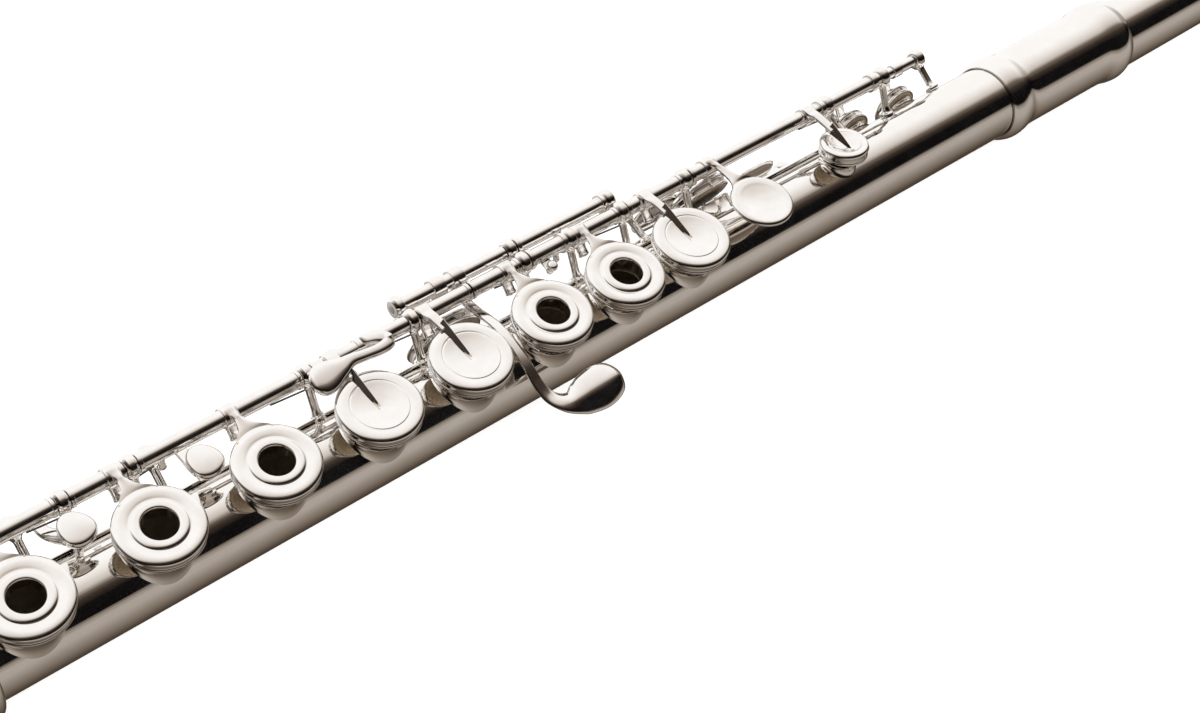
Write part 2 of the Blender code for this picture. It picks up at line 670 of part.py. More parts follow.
def side_levers():
    """The pieces on the rods that close no hole: two bridges, the end sleeve and the side lever."""
    half = POST_HEAD_WIDTH / 2
    posts = MAIN_POSTS
    rows = (
        ("bb_bridge", MAIN_ROD, posts[4] + half, posts[5] - half, (LUG_ANGLE, -LUG_ANGLE)),
        ("split_e_lever", REAR_ROD, REAR_POSTS[0] + half, REAR_POSTS[1] - half, (LUG_ANGLE,)),
    )
    for name, place, low, high, turns in rows:
        station = (low + high) / 2
        hinge = hinge_empty(name, station, place, 0)
        adds = [lug(0.0030 * (-1) ** side, turn) for side, turn in enumerate(turns)]
        tube = hinge_tube(low, high, station)
        piece(name, POLISHED_SILVER, hinge, tube, adds, [hinge_bore(low, high, station)])

    low, high = posts[0] + half, posts[1] - half
    sleeve = rod(low + END_GAP, high - END_GAP, HINGE_RADIUS, MAIN_ROD)
    collar = rod(TRILL_D_HOLE - 0.0030, TRILL_D_HOLE - 0.0010, POST_HEAD_RADIUS, MAIN_ROD)
    piece("rod_sleeve", POLISHED_SILVER, flute_axis, sleeve, [collar],
          [steel_bore(low, high, MAIN_ROD)], solver="MANIFOLD")

    low, high = posts[6] + half, FS_SEAM
    station = (low + high) / 2
    hinge = hinge_empty("key_bb_lever", station, MAIN_ROD, 0)
    touch = KEY_FS + 0.0055 - station
    path = [(0.0030, -0.0010, 0.0016), (0.0010, -0.0042, 0.0040), (-0.0040, -0.0046, 0.0052),
            (-touch + 0.0050, -0.0036, 0.0054), (-touch, -0.0030, 0.0050)]
    arm = strip(path, [0.0022, 0.0020, 0.0020, 0.0020, 0.0024], 0.0014, (0, 0, 1))
    pad_frame = Matrix.Translation((-touch - 0.0012, -0.0030, 0.0026))
    knob = [(0, 0.0026), (0.0026, 0.0022), (0.0034, 0.0010), (0.0030, 0), (0, 0)]
    adds = [arm, turned(knob, ROD_SIDES, pad_frame)]
    tube = hinge_tube(low, high, station)
    piece("key_bb_lever", POLISHED_SILVER, hinge, tube, adds, [hinge_bore(low, high, station)])


def g_sharp_key():
    """A closed key: its cup hangs behind the tube and its lever crosses between two cups to a paddle."""
    half = POST_HEAD_WIDTH / 2
    low, high = REAR_POSTS[1] + half, REAR_POSTS[2] - half
    station = GS_HOLE
    hinge = hinge_empty("key_g_sharp", station, REAR_ROD, 0)
    frame = cup_frame(REAR_ROD, 0, GS_HOLE_ANGLE)
    back = CHIMNEY_RIM + CUP_HEIGHT

    def over(at, degrees, out):
        """A point a distance out from the tube's surface, at an angle from the top, as the hinge sees it."""
        spot = radial(at, math.radians(degrees)) @ Vector((0, 0, TUBE_RADIUS + out))
        return spot + Vector((station, -REAR_ROD[0], -REAR_ROD[1]))

    hanger = [Vector((0, 0.49 * HINGE_RADIUS, -0.51 * HINGE_RADIUS)), over(station, 77.6, 0.0134),
              over(station, 85.1, 0.0110), over(station, 90.0, back - TUBE_RADIUS - ARM_SINK)]
    lane = G_SEAM
    lever = [Vector((station - lane, -0.50 * HINGE_RADIUS, -0.76 * HINGE_RADIUS)), over(lane, 59.6, 0.0083), over(lane, 47.9, 0.0056),
             over(lane, 25.1, 0.0042), over(lane, 0.0, 0.0039), over(lane, -24.1, 0.0048),
             over(lane, -42.0, 0.0065), over(lane - 0.0010, -52.3, 0.0091),
             over(lane - 0.0040, -57.5, 0.0120)]
    leaf = [over(lane - 0.0020, -55.1, 0.0106), over(lane - 0.0050, -57.7, 0.0124),
            over(lane - 0.0090, -58.4, 0.0134), over(lane - 0.0130, -58.0, 0.0139),
            over(lane - 0.0160, -57.5, 0.0143)]
    width = ARM_ROOT_WIDTH
    adds = [
        cup(CUP_RADIUS, frame),
        strip(hanger, [width, width * 1.1, width * 1.1, width], LEVER_THICKNESS, (1, 0, 0)),
        strip(lever, [width * 0.87] * 6 + [width, width * 1.1, width * 1.3], LEVER_THICKNESS, (1, 0, 0)),
        strip(leaf, [0.0040, 0.0078, 0.0092, 0.0080, 0.0040], LEVER_THICKNESS, (0, 1, 0)),
    ]
    tube = hinge_tube(low, high, station)
    piece("key_g_sharp", POLISHED_SILVER, hinge, tube, adds, [hinge_bore(low, high, station)])
    pad("pad_g_sharp", hinge, CUP_RADIUS, frame)


def trill_keys():
    """Two closed keys on one line: the second's shaft turns inside the first's tube."""
    half = POST_HEAD_WIDTH / 2
    rows = (
        ("key_trill_d", TRILL_D_HOLE, TRILL_TOUCHES[0], TRILL_TOUCHES[0]),
        ("key_trill_ds", TRILL_DS_HOLE, TRILL_TOUCHES[1], TRILL_TOUCHES[1] + 0.0034),
    )
    tube_start = TRILL_D_HOLE - 0.0075
    for name, hole, touch, root in rows:
        hinge = hinge_empty(name, hole, TRILL_ROD, 0)
        frame = cup_frame(TRILL_ROD, 0, TRILL_HOLE_ANGLE)
        face = frame @ Vector((0, 0, CUP_HEIGHT - ARM_SINK))
        hanger = [Vector((0, 0.0004, -0.0006)), Vector((0, 0.0010, -0.0048)), face]
        lean = touch - root
        offset = Vector((hole - touch, TUBE_RADIUS - TRILL_ROD[0], TUBE_RADIUS - TRILL_ROD[1]))
        climb = [offset + Vector(spot) for spot in
                 ((lean, 0.0077, -0.0033), (lean, 0.0036, -0.0009), (lean * 0.7, 0.0007, 0.0019),
                  (0, -0.0015, 0.0033))]
        knob_frame = Matrix.Translation(offset + Vector((0, -0.0019, 0.0029)))
        knob_frame = knob_frame @ Matrix.Diagonal((1.35, 1, 1, 1))
        knob = [(0, 0.0034), (0.0022, 0.0030), (0.0032, 0.0016), (0.0032, 0.0004), (0.0026, 0), (0, 0)]
        adds = [
            cup(TRILL_CUP_RADIUS, frame),
            strip(hanger, [0.0028] * 3, LEVER_THICKNESS, (1, 0, 0)),
            strip(climb, [0.0026, 0.0026, 0.0030, 0.0034], LEVER_THICKNESS, (1, 0, 0)),
            turned(knob, ROD_SIDES, knob_frame),
        ]
        if name == "key_trill_d":
            low = tube_start
            high = TRILL_SHAFT_POSTS[0] - half - END_GAP
            base = rod(low - hole, high - hole, TRILL_TUBE_RADIUS)
            cuts = [rod(low - hole - 0.002, high - hole + 0.002, TRILL_SHAFT_RADIUS + BORE_CLEARANCE)]
        else:
            low = TRILL_END_POST - half
            high = TRILL_SHAFT_POSTS[1] + half
            base = rod(low - hole, high - hole, TRILL_SHAFT_RADIUS)
            near = (TRILL_END_POST + half + END_GAP, tube_start - END_GAP)
            far = (TRILL_SHAFT_POSTS[0] + half + END_GAP, TRILL_SHAFT_POSTS[1] - half - END_GAP)
            adds = [rod(near[0] - hole, near[1] - hole, TRILL_TUBE_RADIUS),
                    rod(far[0] - hole, far[1] - hole, TRILL_TUBE_RADIUS), *adds]
            cuts = []
        piece(name, POLISHED_SILVER, hinge, base, adds, cuts)
        pad(f"pad_{name[4:]}", hinge, TRILL_CUP_RADIUS, frame)


def thumb_keys():
    """The thumb's cup key and the flat lever beside it, on a rod low behind the tube."""
    half = POST_HEAD_WIDTH / 2
    split = THUMB - THUMB_CUP_RADIUS - 0.0045
    station = THUMB
    hinge = hinge_empty("key_thumb_b", station, THUMB_ROD, -THUMB_OPEN_ANGLE)
    frame = cup_frame(THUMB_ROD, 0, THUMB_HOLE_ANGLE)
    face = frame @ Vector((0, 0, CUP_HEIGHT - ARM_SINK))
    hanger = [Vector((0, 0.0014, 0.0010)), Vector((0, 0.0040, 0.0052)), Vector((0, 0.0038, 0.0092)), face]
    touch = [Vector((-at, 0.0042, 0.0044)) for at in (-0.0010, 0.0050, 0.0110, 0.0160)]
    adds = [
        cup(THUMB_CUP_RADIUS, frame),
        strip(hanger, [0.0034] * 4, LEVER_THICKNESS, (1, 0, 0)),
        strip(touch, [0.0050, 0.0086, 0.0088, 0.0050], LEVER_THICKNESS, (0, 0.2, 1)),
    ]
    low, high = split, THUMB_POSTS[1] - half
    piece("key_thumb_b", POLISHED_SILVER, hinge, hinge_tube(low, high, station), adds,
          [hinge_bore(low, high, station)])
    pad("pad_thumb_b", hinge, THUMB_CUP_RADIUS, frame)

    low, high = THUMB_POSTS[0] + half, split
    station = (low + high) / 2
    hinge = hinge_empty("thumb_bb_lever", station, THUMB_ROD, 0)
    stem = [(0, 0.0014, 0.0008), (0, 0.0036, 0.0036), (0, 0.0040, 0.0060)]
    leaf = [(-at, 0.0040, 0.0046) for at in (-0.0080, -0.0030, 0.0030, 0.0060)]
    adds = [
        strip(stem, [0.0034] * 3, LEVER_THICKNESS, (1, 0, 0)),
        strip(leaf, [0.0040, 0.0072, 0.0072, 0.0040], LEVER_THICKNESS, (0, 0.2, 1)),
    ]
    piece("thumb_bb_lever", POLISHED_SILVER, hinge, hinge_tube(low, high, station), adds,
          [hinge_bore(low, high, station)])


def foot_hinge(name, station, tilt):
    return empty(f"{name}_hinge", foot_axis, (-station, *FOOT_ROD), tilt)


def roller_fork(spot):
    """Two ears and the pin between them that carry a roller."""
    x, y, z = spot
    half = ROLLER_LENGTH / 2 + END_GAP
    ears = []
    for side in (-1, 1):
        middle = x + side * (half + 0.0005)
        path = [(middle, y, z - 0.0022), (middle, y, z + 0.0007)]
        ears.append(strip(path, [0.0010] * 2, 0.0016, (1, 0, 0)))
    pin = moved(rod(-half - 0.0004, half + 0.0004, ROLLER_PIN_RADIUS), spot)
    bed = strip([(x - half - 0.0010, y, z - 0.0027), (x + half + 0.0010, y, z - 0.0027)],
                [0.0030] * 2, 0.0012, (0, 1, 0))
    return [*ears, pin, bed]


def roller(name, hinge, spot):
    """A roller that turns on its fork's pin, in an empty on the pin's axis."""
    axle = empty(f"{name}_axle", hinge, spot)
    half = ROLLER_LENGTH / 2
    bore = ROLLER_PIN_RADIUS + BORE_CLEARANCE
    profile = [(bore, ROLLER_LENGTH), (ROLLER_RADIUS * 0.8, ROLLER_LENGTH),
               (ROLLER_RADIUS, ROLLER_LENGTH * 0.85), (ROLLER_RADIUS, ROLLER_LENGTH * 0.15),
               (ROLLER_RADIUS * 0.8, 0), (bore, 0)]
    piece(name, POLISHED_SILVER, axle, turned(profile, ROD_SIDES, along_x(-half, half), ring=True))


def foot_cup():
    """A plain cup's frame and shapes on the foot's rod, which lies on the far side of the tube."""
    frame = Matrix.Translation((0, -FOOT_ROD[0], -FOOT_ROD[1])) @ radial(0, 0, CHIMNEY_RIM)
    lift = CHIMNEY_RIM + CUP_HEIGHT - FOOT_ROD[1] + ARM_SINK
    reach = -FOOT_ROD[0]
    path = [(-ARM_OFFSET, 0.0008, 0.0015), (-ARM_OFFSET, 0.0040, lift), (0, reach, lift - 2 * ARM_SINK)]
    widths = [ARM_ROOT_WIDTH, ARM_ROOT_WIDTH, ARM_POINT_WIDTH]
    return frame, [cup(CUP_RADIUS, frame), strip(path, widths, ARM_THICKNESS, (1, 0, 0))]


def foot_keys():
    half = POST_HEAD_WIDTH / 2
    posts = FOOT_POSTS
    gap_middle = (FOOT_DS + LOW_CS) / 2

    hinge = foot_hinge("key_foot_ds", FOOT_DS, 0)
    frame, adds = foot_cup()
    leaf = [(0.0090, -0.0046, 0.0010), (0.0050, -0.0066, 0.0012), (-0.0010, -0.0072, 0.0012),
            (-0.0070, -0.0066, 0.0012), (-0.0100, -0.0056, 0.0012)]
    stem = [(-0.0035, -0.0008, 0.0012), (-0.0030, -0.0050, 0.0012)]
    adds += [strip(stem, [0.0050, 0.0080], LEVER_THICKNESS, (1, 0, 0)),
             strip(leaf, [0.0030, 0.0072, 0.0090, 0.0076, 0.0040], LEVER_THICKNESS, (0, 1, 0))]
    low, high = posts[0] + half, posts[1] - half
    piece("key_foot_ds", POLISHED_SILVER, hinge, hinge_tube(low, high, FOOT_DS), adds,
          [hinge_bore(low, high, FOOT_DS)])
    pad("pad_foot_ds", hinge, CUP_RADIUS, frame)

    hinge = foot_hinge("key_low_cs", LOW_CS, OPEN_ANGLE)
    frame, adds = foot_cup()
    low, high = posts[1] + half, posts[2] - half
    spot = Vector((LOW_CS - gap_middle, 0.0118, 0.0075))
    root = LOW_CS - low - 0.0024
    arm = [(root, 0.0008, 0.0014), (root, 0.0040, 0.0036), (spot.x, 0.0104, 0.0046),
           (spot.x, 0.0125, 0.0048)]
    adds += [strip(arm, [0.0030] * 4, LEVER_THICKNESS, (1, 0, 0)), *roller_fork(spot)]
    piece("key_low_cs", POLISHED_SILVER, hinge, hinge_tube(low, high, LOW_CS), adds,
          [hinge_bore(low, high, LOW_CS)])
    pad("pad_low_cs", hinge, CUP_RADIUS, frame)
    roller("roller_low_cs", hinge, spot)

    hinge = foot_hinge("key_low_c", LOW_C, OPEN_ANGLE)
    frame, adds = foot_cup()
    low, high = posts[2] + half, posts[3] - half
    spot = Vector((LOW_C - gap_middle, 0.0062, 0.0105))
    root = LOW_C - low - 0.0024
    arm = [(root, 0.0006, 0.0012), (root, 0.0022, 0.0050), (root, 0.0040, 0.0078)]
    bridge = [(root - 0.0012, 0.0040, 0.0076), (spot.x - 0.0020, 0.0056, 0.0078)]
    adds += [strip(arm, [0.0030] * 3, LEVER_THICKNESS, (1, 0, 0)),
             strip(bridge, [0.0020] * 2, 0.0014, (0, 1, 0)), *roller_fork(spot)]
    piece("key_low_c", POLISHED_SILVER, hinge, hinge_tube(low, high, LOW_C), adds,
          [hinge_bore(low, high, LOW_C)])
    pad("pad_low_c", hinge, CUP_RADIUS, frame)
    roller("roller_low_c", hinge, spot)


# ---- the head joint ----
def head_joint():
    length = HEAD_TENON - HEAD_END
    step = HEAD_TENON - BARREL_TOP + END_GAP
    profile = [
        (BORE_RADIUS, 0),
        (TUBE_RADIUS, 0),
        (TUBE_RADIUS, step),
        (HEAD_RADIUS, step),
        (HEAD_END_RADIUS, length),
        (HEAD_END_RADIUS - TUBE_WALL, length),
    ]
    shape = turned(profile[::-1], TUBE_SIDES, towards_crown(HEAD_TENON), ring=True)
    local = head_radius_at(EMBOUCHURE)
    top = local + RISER_HEIGHT
    riser = RISER_WALL + RIB_CLEARANCE
    hole = oval(EMBOUCHURE_LENGTH + 2 * riser, EMBOUCHURE_WIDTH + 2 * riser, local / 2, top * 1.2,
                EMBOUCHURE)
    piece("head_tube", POLISHED_SILVER, head_axis, shape, cuts=[hole])

    outer = oval(EMBOUCHURE_LENGTH + 2 * RISER_WALL, EMBOUCHURE_WIDTH + 2 * RISER_WALL,
                 local - 0.0012, top, EMBOUCHURE)
    inner = oval(EMBOUCHURE_LENGTH, EMBOUCHURE_WIDTH, local / 2, top * 1.2, EMBOUCHURE)
    piece("embouchure_riser", POLISHED_SILVER, head_axis, outer, cuts=[inner])

    piece("lip_plate", POLISHED_SILVER, head_axis, lip_plate_shape(local, top), cuts=[hole])

    narrowest = head_radius_at(-STOPPER_PLATE - CORK_LENGTH - STOPPER_TRAVEL)
    cork_radius = narrowest - TUBE_WALL - CORK_CLEARANCE
    cork = [(0, CORK_LENGTH), (cork_radius, CORK_LENGTH), (cork_radius, 0), (0, 0)]
    bore = rod(0.01, -0.05, SCREW_RADIUS + BORE_CLEARANCE)
    shape = turned(cork, TUBE_SIDES, towards_crown(-STOPPER_PLATE))
    piece("stopper_cork", CORK_FINISH, head_axis, shape, cuts=[bore])
    face = cork_radius - CORK_CLEARANCE
    plate = spun(face, 0, STOPPER_PLATE - CORK_CLEARANCE, towards_crown(0), TUBE_SIDES)
    screw_end = -HEAD_END + 0.0060
    screw = rod(-CORK_CLEARANCE, -screw_end, SCREW_RADIUS)
    piece("stopper_screw", POLISHED_SILVER, head_axis, plate, [screw])

    start = -HEAD_END + END_GAP
    wide = HEAD_RADIUS
    crown = [(0, CROWN_LENGTH), (wide * 0.59, CROWN_LENGTH - 0.0004),
             (wide * 0.90, CROWN_LENGTH - 0.0030), (wide * 0.98, CROWN_LENGTH - 0.0070),
             (wide * 0.90, 0.0040), (wide, 0.0024), (wide, 0), (0, 0)]
    socket = rod(-start + 0.002, -screw_end - 0.0030, SCREW_RADIUS + BORE_CLEARANCE)
    shape = turned(crown, TUBE_SIDES, towards_crown(-start))
    piece("crown", POLISHED_SILVER, head_axis, shape, cuts=[socket])


def head_radius_at(station):
    """The head tube's outer radius where it tapers from the barrel to the crown."""
    share = (BARREL_TOP - station) / (BARREL_TOP - HEAD_END)
    return HEAD_RADIUS + (HEAD_END_RADIUS - HEAD_RADIUS) * share


def lip_plate_shape(local, top):
    """A saddle over the riser: high at the embouchure hole, coming down to the tube at its edge."""
    rows, columns = 8, 8
    low = local + 0.0004
    outer, inner = [], []
    for row in range(rows + 1):
        along = 2 * row / rows - 1
        for column in range(columns + 1):
            across = 2 * column / columns - 1
            # A square grid is drawn onto an ellipse, so that the plate's outline is a smooth oval
            x = along * math.sqrt(1 - across * across / 2)
            y = across * math.sqrt(1 - along * along / 2)
            rise = (1 - min(1.0, math.hypot(x, y)) ** 2) ** 0.8
            radius = low + (top - PLATE_THICKNESS - low) * rise
            angle = y * PLATE_WIDTH / 2 / (low + (top - low) * 0.4)
            for rows_of, extra in ((inner, 0.0), (outer, PLATE_THICKNESS)):
                frame = radial(EMBOUCHURE - x * PLATE_LENGTH / 2, angle, radius + extra)
                rows_of.append(frame.translation)
    points = outer + inner
    count = len(outer)
    width = columns + 1
    faces = []
    for row in range(rows):
        for column in range(columns):
            corner = row * width + column
            quad = [corner, corner + 1, corner + width + 1, corner + width]
            faces.append(quad)
            faces.append([count + index for index in quad[::-1]])
    edge = list(range(width))
    edge += [row * width + columns for row in range(1, rows + 1)]
    edge += [rows * width + column for column in range(columns - 1, -1, -1)]
    edge += [row * width for row in range(rows - 1, 0, -1)]
    for place, index in enumerate(edge):
        after = edge[(place + 1) % len(edge)]
        faces.append([index, count + index, count + after, after])
    return points, faces


clear_scene()
flute_axis = empty("flute_axis", None, (STOPPER_X, 0, AXIS_Z))
foot_axis = empty("foot_axis", flute_axis)
head_axis = empty("head_axis", flute_axis)
body_tubes()
foot_tube()
ribs()
steels()
main_keys()
c_sharp_key()
side_levers()
g_sharp_key()
trill_keys()
thumb_keys()
foot_keys()
head_joint()
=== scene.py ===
import json
import math

import bpy
import numpy as np
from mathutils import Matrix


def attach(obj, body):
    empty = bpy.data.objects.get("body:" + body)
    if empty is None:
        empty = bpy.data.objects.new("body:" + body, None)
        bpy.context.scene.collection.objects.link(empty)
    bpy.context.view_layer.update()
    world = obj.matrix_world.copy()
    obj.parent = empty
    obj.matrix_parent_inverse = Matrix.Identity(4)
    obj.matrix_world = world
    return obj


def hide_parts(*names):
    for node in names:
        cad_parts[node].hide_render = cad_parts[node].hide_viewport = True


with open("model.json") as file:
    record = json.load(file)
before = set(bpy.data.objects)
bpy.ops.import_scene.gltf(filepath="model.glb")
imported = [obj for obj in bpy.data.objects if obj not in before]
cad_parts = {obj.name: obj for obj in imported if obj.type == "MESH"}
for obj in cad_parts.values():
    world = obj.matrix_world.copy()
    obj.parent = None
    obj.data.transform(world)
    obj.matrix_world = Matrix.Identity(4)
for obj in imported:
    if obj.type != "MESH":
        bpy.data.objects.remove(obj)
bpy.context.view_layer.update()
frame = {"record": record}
print("frame loaded")

record = frame["record"]
jointOf = {joint["name"]: joint for joint in record["behaviour"]["joints"]}
bodyOf = {node: body for body, nodes in record["behaviour"]["bodies"].items() for node in nodes}
axisHeight = jointOf["crown_turn"]["pos_m"][2] * 1000

# All shapes are worked out in millimetres: x along the bore to the crown, y to the player and z up
# from the bore's axis. A station is a distance from the stopper's face towards the foot.
flute = {
    "stopperX": 274.9,
    "tubeRadius": 9.9,
    "boreRadius": 9.5,
    "rim": 11.3,
    "bodyTop": 171.0,
    "bodyShoulder": 481.5,
    "tenon": 14.5,
    "barrelTop": 129.0,
    "barrelFoot": 181.0,
    "headTenon": 168.0,
    "headEnd": -40.0,
    "headRadius": 10.2,
    "headEndRadius": 9.2,
    "footStart": 482.0,
    "mainRod": (15.7, 12.8),
    "rearRod": (20.5, 11.5),
    "hinge": 1.95,
    "rearHinge": 1.75,
    "trillRod": (18.3, 5.8),
    "thumbRod": (13.2, -8.8),
    "footRod": (-15.5, 10.0),
    "openAngle": 9.0,
    "thumbAngle": 5.0,
}
# How far a hinge tube stops short of its neighbour at each end
runningGap = 0.18


def xAt(station):
    return flute["stopperX"] - station


def stationOf(joint):
    return flute["stopperX"] - jointOf[joint]["pos_m"][0] * 1000


# ---- shapes ----
def rounded(corners, radii, steps=5):
    # Each corner becomes a quadratic curve that starts and ends that corner's radius away from it
    corners = np.asarray(corners, float)
    radii = np.asarray(radii, float)[:, None]
    before = np.vstack((corners[:1], corners[:-1])) - corners
    after = np.vstack((corners[1:], corners[-1:])) - corners
    reachBefore = np.linalg.norm(before, axis=1, keepdims=True) + 1e-9
    reachAfter = np.linalg.norm(after, axis=1, keepdims=True) + 1e-9
    start = corners + before / reachBefore * np.minimum(radii, reachBefore * 0.49)
    end = corners + after / reachAfter * np.minimum(radii, reachAfter * 0.49)
    share = np.linspace(0, 1, steps)[None, :, None]
    curve = (1 - share) ** 2 * start[:, None] + 2 * share * (1 - share) * corners[:, None]
    curve = (curve + share**2 * end[:, None]).reshape(-1, corners.shape[1])
    apart = np.linalg.norm(np.diff(curve, axis=0), axis=1) > 1e-4
    return curve[np.concatenate(([True], apart))]


def smoothed(controls, count):
    # Rows of numbers joined by a Catmull-Rom curve, sampled evenly in the row number
    controls = np.asarray(controls, float)
    padded = np.vstack((2 * controls[0] - controls[1], controls, 2 * controls[-1] - controls[-2]))
    place = np.linspace(0, len(controls) - 1, count)
    first = np.minimum(place.astype(int), len(controls) - 2)
    share = (place - first)[:, None]
    p0, p1, p2, p3 = (padded[first + step] for step in range(4))
    curve = 2 * p1 + (p2 - p0) * share + (2 * p0 - 5 * p1 + 4 * p2 - p3) * share**2
    return (curve + (3 * p1 - p0 - 3 * p2 + p3) * share**3) / 2


def solid(loops, joined=False):
    # Closed loops of points joined by quads; the ends are closed by fans unless the last loop meets
    # the first. The faces are turned so that the enclosed volume is positive.
    rows, columns = loops.shape[:2]
    index = np.arange(rows * columns).reshape(rows, columns)
    after = np.roll(index, -1, axis=1)
    if joined:
        low, high = index, np.roll(index, -1, axis=0)
        lowAfter, highAfter = after, np.roll(after, -1, axis=0)
    else:
        low, high, lowAfter, highAfter = index[:-1], index[1:], after[:-1], after[1:]
    quads = np.stack((low, lowAfter, highAfter, high), -1).reshape(-1, 4)
    points = loops.reshape(-1, 3)
    fans = np.zeros((0, 3), int)
    if not joined:
        middles = np.stack((loops[0].mean(0), loops[-1].mean(0)))
        count = len(points)
        points = np.vstack((points, middles))
        first = np.stack((after[0], index[0], np.full(columns, count)), -1)
        last = np.stack((index[-1], after[-1], np.full(columns, count + 1)), -1)
        fans = np.vstack((first, last))
    corners = np.vstack((quads[:, [0, 1, 2]], quads[:, [0, 2, 3]], fans))
    a, b, c = points[corners[:, 0]], points[corners[:, 1]], points[corners[:, 2]]
    if np.einsum("ij,ij->", a, np.cross(b, c)) < 0:
        quads, fans = quads[:, ::-1], fans[:, ::-1]
    return points, quads, fans


def axes(origin, along, side=(1, 0, 0)):
    # A frame as (origin, three unit axes in rows): z is along, x is as near to side as it can be
    along = np.asarray(along, float)
    along = along / np.linalg.norm(along)
    side = np.asarray(side, float) - along * np.dot(side, along)
    side = side / np.linalg.norm(side)
    return np.asarray(origin, float), np.stack((side, np.cross(along, side), along))


def alongBore(station, place=(0, 0)):
    return axes((xAt(station), place[0], place[1]), (-1, 0, 0), (0, 1, 0))


def outOfBore(station, degrees, height=0.0):
    # Frame whose z points out of the bore at an angle from the top towards the player
    turn = math.radians(degrees)
    out = np.array((0, math.sin(turn), math.cos(turn)))
    return axes(np.array((xAt(station), 0, 0)) + out * height, out)


def placed(local, frameAxes):
    origin, directions = frameAxes
    return origin + local @ directions


def turned(profile, frameAxes, sides=72, joined=False):
    # (radius, height) points spun about the frame's z
    profile = np.asarray(profile, float)
    turn = np.linspace(0, 2 * math.pi, sides, endpoint=False)
    radius, height = profile[:, :1], profile[:, 1:]
    local = np.stack((radius * np.cos(turn), radius * np.sin(turn), height + 0 * turn), -1)
    return solid(placed(local, frameAxes), joined)


def tube(low, high, radius, place, edge=0.15, sides=40):
    # A rod or hinge tube between two stations, with its end edges broken
    length = high - low
    corners = [(radius * 0.3, 0), (radius, 0), (radius, length), (radius * 0.3, length)]
    return turned(rounded(corners, (0, edge, edge, 0)), alongBore(low, place), sides)


def bar(controls, across, sides=20, square=3.2, count=48, ends=(0.0, 0.0), dish=0.0, crest=2.0):
    # A rounded-rectangle section carried along a curve. Each control row is x, y, z, width, height.
    # The width lies along across, which may be one direction or one for each row. The ends shrink
    # to a round nose over the given lengths. dish, one number or one for each row, bends the section
    # into a trough as deep as that, with a straighter-sided one for a smaller crest.
    controls = np.asarray(controls, float)
    across = np.broadcast_to(np.asarray(across, float), (len(controls), 3))
    bend = np.broadcast_to(np.asarray(dish, float), (len(controls),))[:, None]
    curve = smoothed(np.hstack((controls, across, bend)), count)
    path, width, height, side, bend = curve[:, :3], curve[:, 3], curve[:, 4], curve[:, 5:8], curve[:, 8]
    ahead = np.gradient(path, axis=0)
    ahead /= np.linalg.norm(ahead, axis=1, keepdims=True)
    side = side - ahead * np.sum(side * ahead, axis=1, keepdims=True)
    side /= np.linalg.norm(side, axis=1, keepdims=True)
    up = np.cross(side, ahead)
    run = np.concatenate(([0], np.cumsum(np.linalg.norm(np.diff(path, axis=0), axis=1))))
    nose = np.ones(count)
    for length, away in zip(ends, (run, run[-1] - run)):
        if length > 0:
            inside = np.clip(1 - away / length, 0, 0.995)
            nose = np.minimum(nose, np.sqrt(1 - inside**2))
    turn = np.linspace(0, 2 * math.pi, sides, endpoint=False)
    level = np.sign(np.cos(turn)) * np.abs(np.cos(turn)) ** (2 / square)
    rise = np.sign(np.sin(turn)) * np.abs(np.sin(turn)) ** (2 / square)
    spread = (width * nose)[:, None] * level / 2
    lift = (height * nose)[:, None] * rise / 2 - (bend * nose)[:, None] * (1 - np.abs(level) ** crest)
    loops = path[:, None] + side[:, None] * spread[..., None] + up[:, None] * lift[..., None]
    return solid(loops)


def pebble(frameAxes, length, width, profile, square=2.6, sides=56, taper=0.0):
    # A rounded touch: its outline is a superellipse, narrowed towards one end by the taper and scaled
    # at each height by the profile
    profile = np.asarray(profile, float)
    turn = np.linspace(0, 2 * math.pi, sides, endpoint=False)
    along = np.sign(np.cos(turn)) * np.abs(np.cos(turn)) ** (2 / square) * length / 2
    over = np.sign(np.sin(turn)) * np.abs(np.sin(turn)) ** (2 / square) * width / 2
    over = over * (1 - taper * np.cos(turn))
    scale, height = profile[:, :1], profile[:, 1:]
    local = np.stack((scale * along, scale * over, height + 0 * turn), -1)
    return solid(placed(local, frameAxes))


def swung(shells, place, degrees):
    # Shells turned about an axis along x through a (y, z) place
    turn = math.radians(degrees)
    spin = np.array(((1, 0, 0), (0, math.cos(turn), -math.sin(turn)), (0, math.sin(turn), math.cos(turn))))
    pivot = np.array((0, place[0], place[1]))
    return [((points - pivot) @ spin.T + pivot, quads, fans) for points, quads, fans in shells]


# ---- materials ----
def linear(hexColour):
    # sRGB hex to linear light
    levels = [int(hexColour[place : place + 2], 16) / 255 for place in (0, 2, 4)]
    made = [v / 12.92 if v <= 0.04045 else ((v + 0.055) / 1.055) ** 2.4 for v in levels]
    return (*made, 1.0)


def addNode(tree, kind, settings=None, links=None):
    # One shader node with its settings (plain attributes or socket values) and its incoming links
    node = tree.nodes.new(kind)
    for name, value in (settings or {}).items():
        if hasattr(node, name):
            setattr(node, name, value)
        else:
            node.inputs[name].default_value = value
    for name, source in (links or {}).items():
        tree.links.new(source, node.inputs[name])
    return node


def ramp(node, stops):
    # Colour stops as (place, hex colour)
    elements = node.color_ramp.elements
    elements[0].position, elements[0].color = stops[0][0], linear(stops[0][1])
    elements[1].position, elements[1].color = stops[-1][0], linear(stops[-1][1])
    for place, colour in stops[1:-1]:
        elements.new(place).color = linear(colour)


def newMaterial(name):
    made = bpy.data.materials.new(name)
    made.use_nodes = True
    return made, made.node_tree, made.node_tree.nodes["Principled BSDF"]


